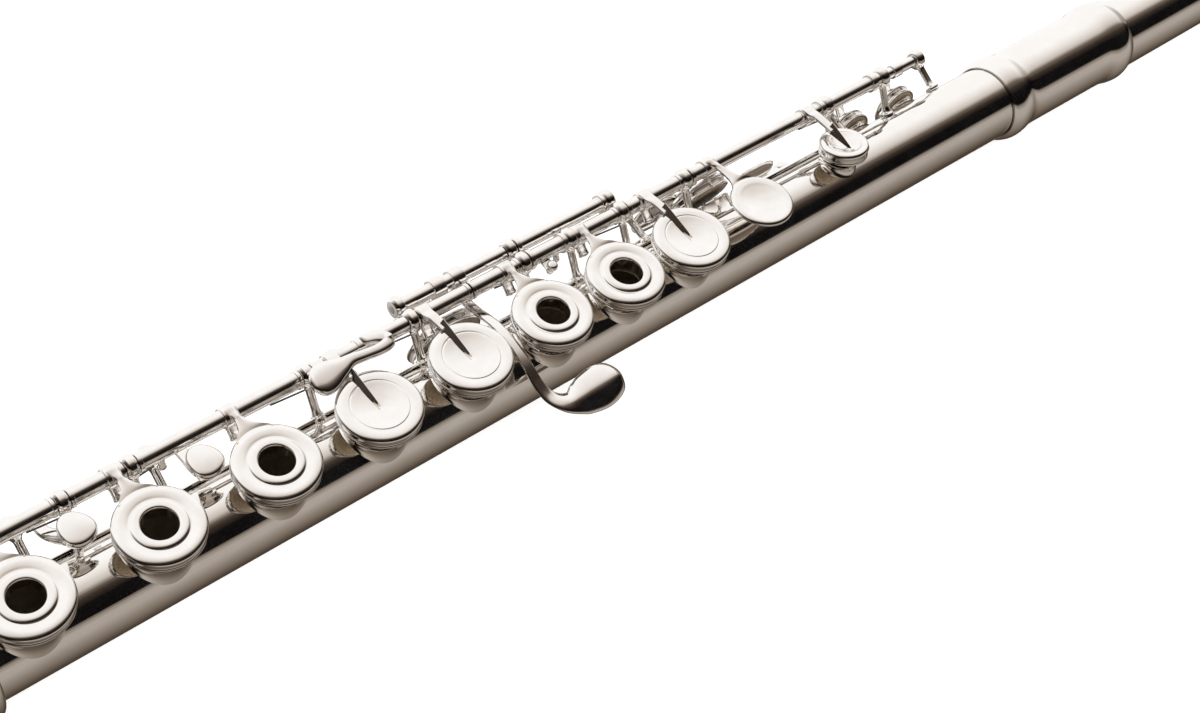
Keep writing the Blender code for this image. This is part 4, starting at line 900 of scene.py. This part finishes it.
def sideLevers(main, rear, fSeam):
    place = flute["mainRod"]
    for name, node, at, low, high, lugs in (
        ("bbBridge", "bb_bridge", place, main[4] + 1.4, main[5] - 1.4, ((3, 150), (-3, -150))),
        ("splitLever", "split_e_lever", flute["rearRod"], rear[0] + 1.4, rear[1] - 1.4, ((3, 150),)),
    ):
        middle = (low + high) / 2
        shells = [
            tube(
                low + runningGap, high - runningGap, flute["hinge"] if at == place else flute["rearHinge"], at
            ),
            collar(low + runningGap, low + 1.2, at),
            collar(high - 1.2, high - runningGap, at),
        ]
        shells += [catch(middle + shift, at, turn) for shift, turn in lugs]
        if at == place:
            shells += adjuster(middle + 1.0, at)
        makePiece(name, shells, keySilver, node, (node,))
    low, high = main[0] + 1.4, main[1] - 1.4
    shells = [
        tube(low + 0.2, high - 0.2, flute["hinge"], place),
        collar(stationOf("key_trill_d") - 3, stationOf("key_trill_d") - 1, place),
    ]
    makePiece("rodSleeve", shells, keySilver, "rod_sleeve", ("rod_sleeve",))

    # The side lever: a hook from the rod that doubles back beside it to a rounded touch
    low, high = main[6] + 1.4, fSeam
    root = xAt(380.6)
    touch = xAt(stationOf("key_f_sharp") + 5.5)
    rows = [
        (root - 1.0, 16.8, 14.0, 2.4, 1.6),
        (root - 0.4, 15.8, 15.0, 2.5, 1.7),
        (root + 1.6, 14.7, 16.0, 2.8, 2.1),
        (root + 3.0, 13.3, 16.6, 2.9, 2.2),
        (root + 2.4, 12.0, 17.0, 2.9, 2.2),
        (root - 0.4, 11.6, 17.2, 2.6, 2.2),
        (root - 4.0, 11.9, 17.3, 2.5, 2.2),
        (root - 7.2, 12.3, 17.2, 2.9, 2.4),
        (root - 9.9, 12.0, 16.8, 4.6, 2.8),
        (root - 12.8, 11.8, 16.6, 6.8, 3.0),
        (touch - 2.0, 11.5, 16.4, 7.0, 3.1),
        (touch - 4.6, 11.4, 16.3, 4.4, 2.8),
    ]
    hook = bar(rows, (0.25, 1, 0.10), 32, 2.6, 110, (0.4, 2.2))
    shells = [
        tube(low + runningGap, high - runningGap, flute["hinge"], place),
        collar(377.6, 383.4, place, 2.3),
        hook,
    ]
    makePiece("sideBbLever", shells, keySilver, "key_bb_lever", ("key_bb_lever",))
    print("side levers made")


def spotOver(station, degrees, out):
    return placed(np.array((0, 0, flute["tubeRadius"] + out)), outOfBore(station, degrees))


def gSharpKey(rear):
    station = holes["key_g_sharp"][0]
    rod = flute["rearRod"]
    low, high = rear[1] + 1.4, rear[2] - 1.4
    rimPlane = outOfBore(station, 90, flute["rim"])
    lane = (stationOf("key_g") + stationOf("key_lower_g")) / 2
    shells = [cup("plain", 9.5, rimPlane), tube(low + runningGap, high - runningGap, flute["rearHinge"], rod)]
    shells += [collar(lane - 1.7, lane + 1.7, rod), collar(station - 1.7, station + 1.7, rod)]
    hanger = [
        (station, 64.0, 14.0, 3.0), (station, 77.6, 13.4, 3.3), (station, 85.1, 11.0, 3.2),
        (station, 90.0, 5.0, 2.8),
    ]
    shells.append(bar([(*spotOver(*row[:3]), row[3], 1.1) for row in hanger], (1, 0, 0)))
    # The lever dips under the main rod, climbs over the tube and ends in a dished leaf for the finger
    x = xAt(lane)
    rows = [(x, 19.6, 10.0, 2.4, 1.3), (x, 15.8, 9.0, 2.4, 1.3), (x, 11.5, 10.4, 2.4, 1.3),
            (x, 6.0, 12.9, 2.4, 1.3),
            (x, 0.0, 14.0, 2.4, 1.3), (x, -5.5, 13.4, 2.5, 1.3), (x + 0.2, -10.5, 11.7, 2.7, 1.3),
            (x + 1.2, -14.6, 10.6, 3.2, 1.3),
            (x + 3.6, -17.6, 10.8, 4.8, 1.3), (x + 6.6, -18.5, 11.4, 8.0, 1.3),
            (x + 9.8, -18.6, 11.8, 9.8, 1.3),
            (x + 13.0, -18.5, 11.9, 10.0, 1.3), (x + 16.2, -18.2, 11.8, 8.4, 1.2),
            (x + 18.8, -17.8, 11.7, 4.6, 1.1)]
    sides = [(1, 0, 0)] * 7 + [(1, 0.25, 0), (0.6, 0.8, 0.12), (0.15, 1, 0.2)] + [(0, 1, 0.2)] * 4
    crown = [0.0] * 8 + [0.5, 1.1, 1.4, 1.4, 1.1, 0.5]
    shells.append(bar(rows, sides, 64, 3.0, 150, (0.4, 1.8), dish=crown, crest=1.25))
    makePiece("keyGsharp", shells, keySilver, "key_g_sharp", ("key_g_sharp",))
    pad("padGsharp", "pad_g_sharp", 9.5, rimPlane, False, (rod, 0))


def trillKeys(touches, shaftPosts):
    rodY, rodZ = rod = flute["trillRod"]
    profile = rounded([
        (0.50, -2.2), (0.58, -0.6), (0.8, 0.6), (1.0, 1.5), (1.0, 2.6), (0.9, 3.2), (0.45, 3.5), (0.04, 3.6)
    ],
                      (0, 1.0, 0.5, 0.5, 0.3, 0.25, 0.6, 0))
    tubeStart = stationOf("key_trill_d") - 7.5
    for name, node, touch, root in (
        ("keyTrillD", "key_trill_d", touches[0], touches[0]),
        ("keyTrillDs", "key_trill_ds", touches[1], touches[1] + 3.4),
    ):
        hole, degrees, _ = holes[node]
        rimPlane = outOfBore(hole, degrees, flute["rim"])
        face = placed(np.array((0, 0, 3.3)), rimPlane)
        shells = [cup("plain", 6.1, rimPlane)]
        hanger = [
            (xAt(hole), rodY + 0.4, rodZ - 0.6, 2.8, 1.1), (xAt(hole), rodY + 1.0, rodZ - 4.8, 2.8, 1.1),
            (*face, 2.6, 1.1),
        ]
        shells.append(bar(hanger, (1, 0, 0)))
        touchX, rootX = xAt(touch), xAt(root)
        climb = [(rootX, 17.6, 6.4, 2.8, 1.4), (rootX, 14.0, 7.4, 2.8, 1.6),
                 (rootX * 0.6 + touchX * 0.4, 11.4, 8.4, 3.2, 2.0), (touchX, 8.6, 10.0, 3.6, 2.4)]
        shells.append(bar(climb, (1, 0, 0), 24, 3.0, 48, (0.3, 0.3)))
        shells.append(
            pebble(axes((touchX, 8.4, 12.5), (0, 0.10, 1), (-0.25, 1, 0)), 8.2, 7.4, profile, 2.1, taper=0.15)
        )
        if node == "key_trill_d":
            shells += [
                tube(tubeStart, shaftPosts[0] - 1.7, 1.5, rod), collar(hole - 1.6, hole + 1.6, rod, 1.9)
            ]
        else:
            shells += [
                tube(hole - 8.5 + 1.7, tubeStart - 0.3, 1.5, rod),
                tube(shaftPosts[0] + 1.7, shaftPosts[1] - 1.7, 1.5, rod),
            ]
            shells += [
                tube(hole - 9.9, shaftPosts[1] + 1.4, 0.75, rod), collar(hole - 1.6, hole + 1.6, rod, 1.9)
            ]
        shells.append(collar(root - 1.6, root + 1.6, rod, 1.9))
        makePiece(name, shells, keySilver, node, (node,))
        pad(name.replace("key", "pad"), "pad_" + node[4:], 6.1, rimPlane, False, (rod, 0))
    print("closed keys made")


def thumbKeys():
    rodY, rodZ = rod = flute["thumbRod"]
    station = stationOf("key_thumb_b")
    swing = (rod, -flute["thumbAngle"])
    rimPlane = outOfBore(station, 75, flute["rim"])
    face = placed(np.array((0, 0, 3.3)), rimPlane)
    split = station - 7.8 - 4.5
    x = xAt(station)
    shells = [
        cup("plain", 7.8, rimPlane),
        tube(split + runningGap, station + 18.42, flute["hinge"], rod),
        collar(station - 2, station + 2, rod),
    ]
    hanger = [
        (x, rodY + 1.4, rodZ + 1.0, 3.4, 1.1), (x, rodY + 4.0, rodZ + 5.2, 3.4, 1.1),
        (x, rodY + 3.8, rodZ + 9.2, 3.2, 1.1), (*face, 3.0, 1.1),
    ]
    shells.append(bar(hanger, (1, 0, 0)))
    leaf = [
        (x + 1, rodY + 4.2, rodZ + 4.4, 4.0, 1.2), (x - 4, rodY + 4.3, rodZ + 4.5, 8.2, 1.2),
        (x - 11, rodY + 4.3, rodZ + 4.5, 8.8, 1.2), (x - 16, rodY + 4.2, rodZ + 4.4, 5.0, 1.2),
    ]
    shells.append(bar(leaf, (0, 0.2, 1), 32, 2.6, 40, (0.6, 2.0)))
    makePiece("keyThumbB", swung(shells, *swing), keySilver, "key_thumb_b", ("key_thumb_b",))
    pad("padThumbB", "pad_thumb_b", 7.8, rimPlane, False, swing)
    low = stationOf("key_c_sharp") + 0.5 + 1.4
    middle = (low + split) / 2
    x = xAt(middle)
    shells = [
        tube(low + runningGap, split - runningGap, flute["hinge"], rod), collar(middle - 2, middle + 2, rod)
    ]
    stem = [
        (x, rodY + 1.2, rodZ + 0.8, 3.4, 1.1), (x, rodY + 1.6, rodZ + 2.6, 3.4, 1.1),
        (x, rodY + 1.6, rodZ + 4.2, 3.2, 1.1),
    ]
    leaf = [
        (x + at, rodY + 1.6, rodZ + 4.0, width, 1.1)
        for at, width in ((8, 3.4), (3, 6.4), (-3, 6.4), (-6, 3.6))
    ]
    shells += [bar(stem, (1, 0, 0)), bar(leaf, (0, 0.2, 1), 32, 2.6, 40, (1.5, 1.0))]
    makePiece("thumbBbLever", shells, keySilver, "thumb_bb_lever", ("thumb_bb_lever",))
    print("thumb keys made")


def rollerFork(spot):
    x, y, z = spot
    shells = []
    for side in (-1, 1):
        middle = x + side * 3.8
        rows = [
            (middle, y, z - 2.6, 3.0, 0.9), (middle, y, z - 0.8, 2.2, 0.9), (middle, y, z + 0.75, 1.7, 0.9)
        ]
        shells.append(bar(rows, (0, 1, 0), 20, 3.0, 24, (0.0, 0.5)))
    rows = [(x - 4.2, y, z - 2.7, 3.0, 1.1), (x, y, z - 2.7, 3.0, 1.1), (x + 4.2, y, z - 2.7, 3.0, 1.1)]
    shells.append(bar(rows, (0, 1, 0), 20, 3.6, 20, (0.5, 0.5)))
    shells.append(
        turned([(0.5, -3.7), (0.5, 3.7)], (np.array(spot), np.array(((0, 1, 0), (0, 0, 1), (1, 0, 0)))), 24)
    )
    return shells


def footKeys(feet):
    rod = flute["footRod"]
    rodY, rodZ = rod
    ds, lowCs, lowC = stationOf("key_foot_ds"), stationOf("key_low_cs"), stationOf("key_low_c")
    middle = (ds + lowCs) / 2
    for name, node, station, low, high, swing in (
        ("keyFootDs", "key_foot_ds", ds, feet[0] + 1.4, feet[1] - 1.4, 0.0),
        ("keyLowCs", "key_low_cs", lowCs, feet[1] + 1.4, feet[2] - 1.4, flute["openAngle"]),
        ("keyLowC", "key_low_c", lowC, feet[2] + 1.4, feet[3] - 1.4, flute["openAngle"]),
    ):
        x = xAt(station)
        rimPlane = outOfBore(station, 0, flute["rim"])
        shells = [cup("plain", 9.5, rimPlane), *pointArm(x, x + 1.2, 8.6, rod=rod, crest=0.9)]
        shells += [
            tube(low + runningGap, high - runningGap, flute["hinge"], rod),
            collar(station - 2.9, station + 0.5, rod),
        ]
        turnedBy = (rod, swing)
        if node == "key_foot_ds":
            stem = [
                (x - 3.5, rodY - 0.8, rodZ + 1.2, 5.0, 1.2), (x - 3.2, rodY - 3.0, rodZ + 1.4, 6.0, 1.2),
                (x - 3.0, rodY - 5.4, rodZ + 1.2, 7.6, 1.2),
            ]
            leaf = [(x + 9.4, rodY - 4.6, rodZ + 1.0, 2.4, 1.1), (x + 5, rodY - 6.4, rodZ + 1.2, 7.0, 1.2),
                    (x - 1, rodY - 7.1, rodZ + 1.2, 8.8, 1.2),
                    (x - 7, rodY - 6.5, rodZ + 1.2, 7.6, 1.2), (x - 10.4, rodY - 5.6, rodZ + 1.2, 3.4, 1.1)]
            shells += [bar(stem, (1, 0, 0)), bar(leaf, (0, 1, 0), 40, 2.4, 56, (1.6, 1.6), dish=0.3)]
        else:
            spot, arm = {
                "key_low_cs": ((xAt(middle), rodY + 11.8, rodZ + 7.5),
                               [(0.8, 1.4), (4.0, 3.6), (10.4, 4.6), (12.5, 4.8)]),
                "key_low_c": ((xAt(middle), rodY + 6.2, rodZ + 10.5), [(0.6, 1.2), (2.2, 5.0), (4.0, 7.8)]),
            }[node]
            root = xAt(low + 2.4)
            rows = [(root, rodY + out, rodZ + up, 2.8, 1.2) for out, up in arm]
            if node == "key_low_cs":
                rows[2:] = [(spot[0] - 2.0, *rows[2][1:]), (spot[0] + 1.0, *rows[3][1:])]
            else:
                rows += [(root + 1.5, rodY + 4.6, rodZ + 7.9, 2.6, 1.2),
                         (root + 8.0, rodY + 5.4, rodZ + 7.8, 2.4, 1.2),
                         (spot[0] - 2.0, rodY + 6.0, rodZ + 7.8, 2.6, 1.2)]
            side = (1, 0, 0) if node == "key_low_cs" else [
                (1, 0, 0), (1, 0, 0), (1, 0.3, 0), (0.3, 1, 0), (0, 1, 0), (0, 1, 0)
            ]
            shells += [bar(rows, side, 24, 3.0, 56), *rollerFork(spot), collar(low + 0.8, low + 4.0, rod)]
            corners = [(0.66, 0), (1.2, 0), (1.6, 0.8), (1.6, 5.2), (1.2, 6.0), (0.66, 6.0)]
            axle = (np.array(spot) - np.array((3.0, 0, 0)), np.array(((0, 1, 0), (0, 0, 1), (1, 0, 0))))
            roller = turned(rounded(corners, (0, 0.3, 0.6, 0.6, 0.3, 0)), axle, 48, joined=True)
            rollerNode = node.replace("key", "roller")
            makePiece(
                rollerNode.replace("_", ""), swung([roller], *turnedBy), keySilver, rollerNode, (rollerNode,)
            )
        makePiece(name, swung(shells, *turnedBy), keySilver, node, (node,))
        pad(name.replace("key", "pad"), "pad_" + node[4:], 9.5, rimPlane, False, turnedBy)
    print("foot keys made")


# ---- the head joint ----
headStyle = {
    "embouchure": 17.0, "holeLength": 12.2, "holeWidth": 10.4, "riserHeight": 5.2, "plateLength": 58.0,
    "plateWidth": 27.0,
}


def headRadius(station):
    # The head narrows in a straight line from the barrel to the crown
    share = (flute["barrelTop"] - station) / (flute["barrelTop"] - flute["headEnd"])
    return flute["headRadius"] + (flute["headEndRadius"] - flute["headRadius"]) * share


def ovalRing(rows, frameAxes, sides=96):
    # Ovals stacked into a ring: each row is half length, half width, height
    rows = np.asarray(rows, float)
    turn = np.linspace(0, 2 * math.pi, sides, endpoint=False)
    local = np.stack((rows[:, :1] * np.cos(turn), rows[:, 1:2] * np.sin(turn), rows[:, 2:] + 0 * turn), -1)
    return placed(local, frameAxes)


def headJoint():
    style = headStyle
    tenon, end = flute["headTenon"], flute["headEnd"]
    step = tenon - flute["barrelTop"] + 0.3
    length = tenon - end
    outer, inner = flute["tubeRadius"], flute["boreRadius"]
    corners = [
        (inner, 0), (outer, 0), (outer, step), (flute["headRadius"], step + 0.1),
        (flute["headEndRadius"], length),
    ]
    corners += [(flute["headEndRadius"] - 0.4, length), (inner, step)]
    profile = [(radius, -place) for radius, place in rounded(corners, (0, 0.1, 0, 0, 0, 0, 0))]
    head = makePiece(
        "headTube", [turned(profile, alongBore(tenon), 144, joined=True)], mirrorSilver, "head_tube",
        ("head_tube",),
    )
    above = outOfBore(style["embouchure"], 0)
    a, b = style["holeLength"] / 2 + 1.1, style["holeWidth"] / 2 + 1.1
    cutHoles(head, [solid(ovalRing([(a, b, 4.0), (a, b, 14.0)], above))])

    lineBore(head, 9.1)
    local = headRadius(style["embouchure"])
    top = local + style["riserHeight"]
    a, b = style["holeLength"] / 2, style["holeWidth"] / 2
    rows = [(a + 1.0, b + 1.0, local - 1.2), (a + 1.0, b + 1.0, top - 0.3), (a + 0.6, b + 0.6, top - 0.05),
            (a + 0.15, b + 0.15, top - 0.1),
            (a, b, top - 0.4), (a + 0.35, b + 0.35, local - 1.2)]
    makePiece(
        "embouchureRiser", [solid(ovalRing(rows, above), joined=True)], mirrorSilver, "embouchure_riser",
        ("embouchure_riser",),
    )

    # The lip plate: an oval saddle that rises to the embouchure hole, with a rounded edge
    sides, count = 120, 30
    turn = np.linspace(0, 2 * math.pi, sides, endpoint=False)
    halfLength, halfWidth = style["plateLength"] / 2, style["plateWidth"] / 2
    start = np.hypot((a + 1.1) / halfLength * np.cos(turn), (b + 1.1) / halfWidth * np.sin(turn))
    share = np.linspace(0, 1, count)[:, None]
    reach = start + (1 - start) * share
    heading = np.arctan2((b + 1.1) / halfWidth * np.sin(turn), (a + 1.1) / halfLength * np.cos(turn))
    low = local + 0.4
    layers = []
    for extra, inset in ((0.9, 0.0), (0.0, 0.0)):
        rise = np.clip(1 - reach**2, 0, 1) ** 0.8
        radius = low + (top - 0.9 - low) * rise + extra * np.minimum(
            1, np.sqrt(np.clip((1 - reach) * 40 + 0.25, 0, 1))
        )
        across = reach * np.sin(heading) * halfWidth / (low + (top - low) * 0.4)
        along = reach * np.cos(heading) * halfLength
        layers.append(
            np.stack((xAt(style["embouchure"]) + along, radius * np.sin(across), radius * np.cos(across)), -1)
        )
    loops = np.concatenate((layers[0], layers[1][::-1]))
    makePiece("lipPlate", [solid(loops, joined=True)], mirrorSilver, "lip_plate", ("lip_plate",))

    # The stopper: a cork on a screw between two plates, and the crown that draws it
    corkRadius = headRadius(-20.2) - 0.55
    toCrown = axes((flute["stopperX"], 0, 0), (1, 0, 0), (0, 1, 0))
    corners = [(1.85, 1.2), (corkRadius, 1.2), (corkRadius, 18.2), (1.85, 18.2)]
    makePiece(
        "stopperCork",
        [turned(rounded(corners, (0, 0.4, 0.4, 0)), toCrown, 64, joined=True)],
        cork,
        "stopper_cork",
        ("stopper_cork",),
    )
    shells = [turned(
        rounded([(0.1, 0), (corkRadius - 0.15, 0), (corkRadius - 0.15, 1.05), (0.1, 1.05)], (0, 0.2, 0.2, 0)),
        toCrown,
        64,
    ),
              turned([(1.7, 0.1), (1.7, 46.0)], toCrown, 32)]
    makePiece("stopperScrew", shells, mirrorSilver, "stopper_screw", ("stopper_screw",))
    wide = flute["headRadius"]
    corners = [
        (2.0, 0), (wide, 0), (wide, 2.3), (wide * 0.9, 3.6), (wide * 0.88, 5.0), (wide * 0.98, 10.8),
        (wide * 0.9, 15.2), (wide * 0.55, 17.7), (0.1, 18.0),
    ]
    corners = [(radius, place + 40.3) for radius, place in corners]
    shell = turned(rounded(corners, (0, 0.4, 0.5, 0.6, 1.0, 3.0, 1.6, 1.6, 0), 8), toCrown, 96)
    makePiece("crownCap", [shell], mirrorSilver, "crown", ("crown",))
    print("head joint made")


# ---- the studio ----
def studio():
    scene = bpy.context.scene
    scene.view_settings.view_transform = "Standard"
    floor = bpy.data.meshes.new("floor")
    floor.from_pydata([(-6, -6, 0), (6, -6, 0), (6, 6, 0), (-6, 6, 0)], [], [(0, 1, 2, 3)])
    # White card: faint mottling a few millimetres across keeps it from reading as a blank
    made, paper, shader = newMaterial("whitePaper")
    fibre = addNode(paper, "ShaderNodeTexNoise", {"Scale": 220.0, "Detail": 3.0})
    tint = addNode(paper, "ShaderNodeValToRGB", None, {"Fac": fibre.outputs["Fac"]})
    ramp(tint, [(0.35, "faf9f7"), (0.65, "fdfcfb")])
    paper.links.new(tint.outputs["Color"], shader.inputs["Base Color"])
    shader.inputs["Roughness"].default_value = 0.9
    shader.inputs["Emission Color"].default_value = linear("ffffff")
    shader.inputs["Emission Strength"].default_value = 0.55
    floor.materials.append(made)
    sheet = bpy.data.objects.new("floor", floor)
    sheet.visible_glossy = False
    scene.collection.objects.link(sheet)

    # The room: plain white light, and for mirror reflections a bank of light behind the flute, a
    # black screen over its front and a grey bench in front, laid out by the angle round the bore
    world = bpy.data.worlds.new("studio")
    world.use_nodes = True
    tree = world.node_tree
    scene.world = world
    ahead = addNode(tree, "ShaderNodeTexCoord").outputs["Generated"]
    parts = addNode(tree, "ShaderNodeSeparateXYZ", None, {"Vector": ahead})
    angle = addNode(tree, "ShaderNodeMath", {"operation": "ARCTAN2"})
    tree.links.new(parts.outputs["Y"], angle.inputs[0])
    tree.links.new(parts.outputs["Z"], angle.inputs[1])
    share = addNode(
        tree, "ShaderNodeMapRange", {"From Min": -math.pi, "From Max": math.pi},
        {"Value": angle.outputs["Value"]}
    )
    bank = addNode(tree, "ShaderNodeValToRGB", None, {"Fac": share.outputs["Result"]})

    def at(degrees):
        return (degrees + 180) / 360

    ramp(bank, [
        (at(-180), "433a31"), (at(-160), "4c433a"), (at(-139), "6c6157"), (at(-115), "8c8278"),
        (at(-91), "a9a19a"),
        (at(-76), "aba39c"), (at(-66), "857b70"), (at(-61), "0b0a0a"), (at(-32), "0d0b0b"),
        (at(-18), "3a3029"),
        (at(-6), "6e6359"), (at(4), "c9c1ba"), (at(18), "e4dfdb"), (at(30), "f3f0ee"), (at(45), "fdfcfc"),
        (at(140), "ffffff"), (at(165), "8c8278"), (at(180), "433a31"),
    ])
    # Past the flute's foot the bench goes dark, which shades the facets that face that way
    alongShare = addNode(
        tree, "ShaderNodeMapRange", {"From Min": -1.0, "From Max": 1.0}, {"Value": parts.outputs["X"]}
    )
    wings = addNode(tree, "ShaderNodeValToRGB", None, {"Fac": alongShare.outputs["Result"]})
    ramp(wings, [(0.0, "3a322c"), (0.08, "4a4038"), (0.22, "ffffff"), (0.93, "ffffff"), (1.0, "8c8278")])
    dimmed = addNode(tree, "ShaderNodeMix", {"data_type": "RGBA", "blend_type": "MULTIPLY"})
    dimmed.inputs[0].default_value = 1.0
    tree.links.new(bank.outputs["Color"], dimmed.inputs[6])
    tree.links.new(wings.outputs["Color"], dimmed.inputs[7])
    glossy = addNode(tree, "ShaderNodeLightPath").outputs["Is Glossy Ray"]
    mixed = addNode(tree, "ShaderNodeMix", {"data_type": "RGBA"})
    tree.links.new(glossy, mixed.inputs[0])
    mixed.inputs[6].default_value = (1, 1, 1, 1)
    tree.links.new(dimmed.outputs[2], mixed.inputs[7])
    back = tree.nodes["Background"]
    tree.links.new(mixed.outputs[2], back.inputs["Color"])
    back.inputs["Strength"].default_value = 1.0

    camera = bpy.data.objects.new("camera", bpy.data.cameras.new("camera"))
    camera.data.lens = 59.37
    camera.data.sensor_width = 36.0
    camera.data.clip_start = 0.01
    camera.location = (-0.28827, -0.12365, 0.39012)
    camera.rotation_euler = [math.radians(turn) for turn in (31.031, -16.488, -38.759)]
    scene.collection.objects.link(camera)
    scene.camera = camera


tubes()
mainPostsAt, rearPostsAt, shaftPostsAt, touchesAt, feetAt = postsAndRibs()
fSeamAt = mainKeys(mainPostsAt)
cSharpKey(mainPostsAt)
sideLevers(mainPostsAt, rearPostsAt, fSeamAt)
gSharpKey(rearPostsAt)
trillKeys(touchesAt, shaftPostsAt)
thumbKeys()
footKeys(feetAt)
headJoint()
studio()
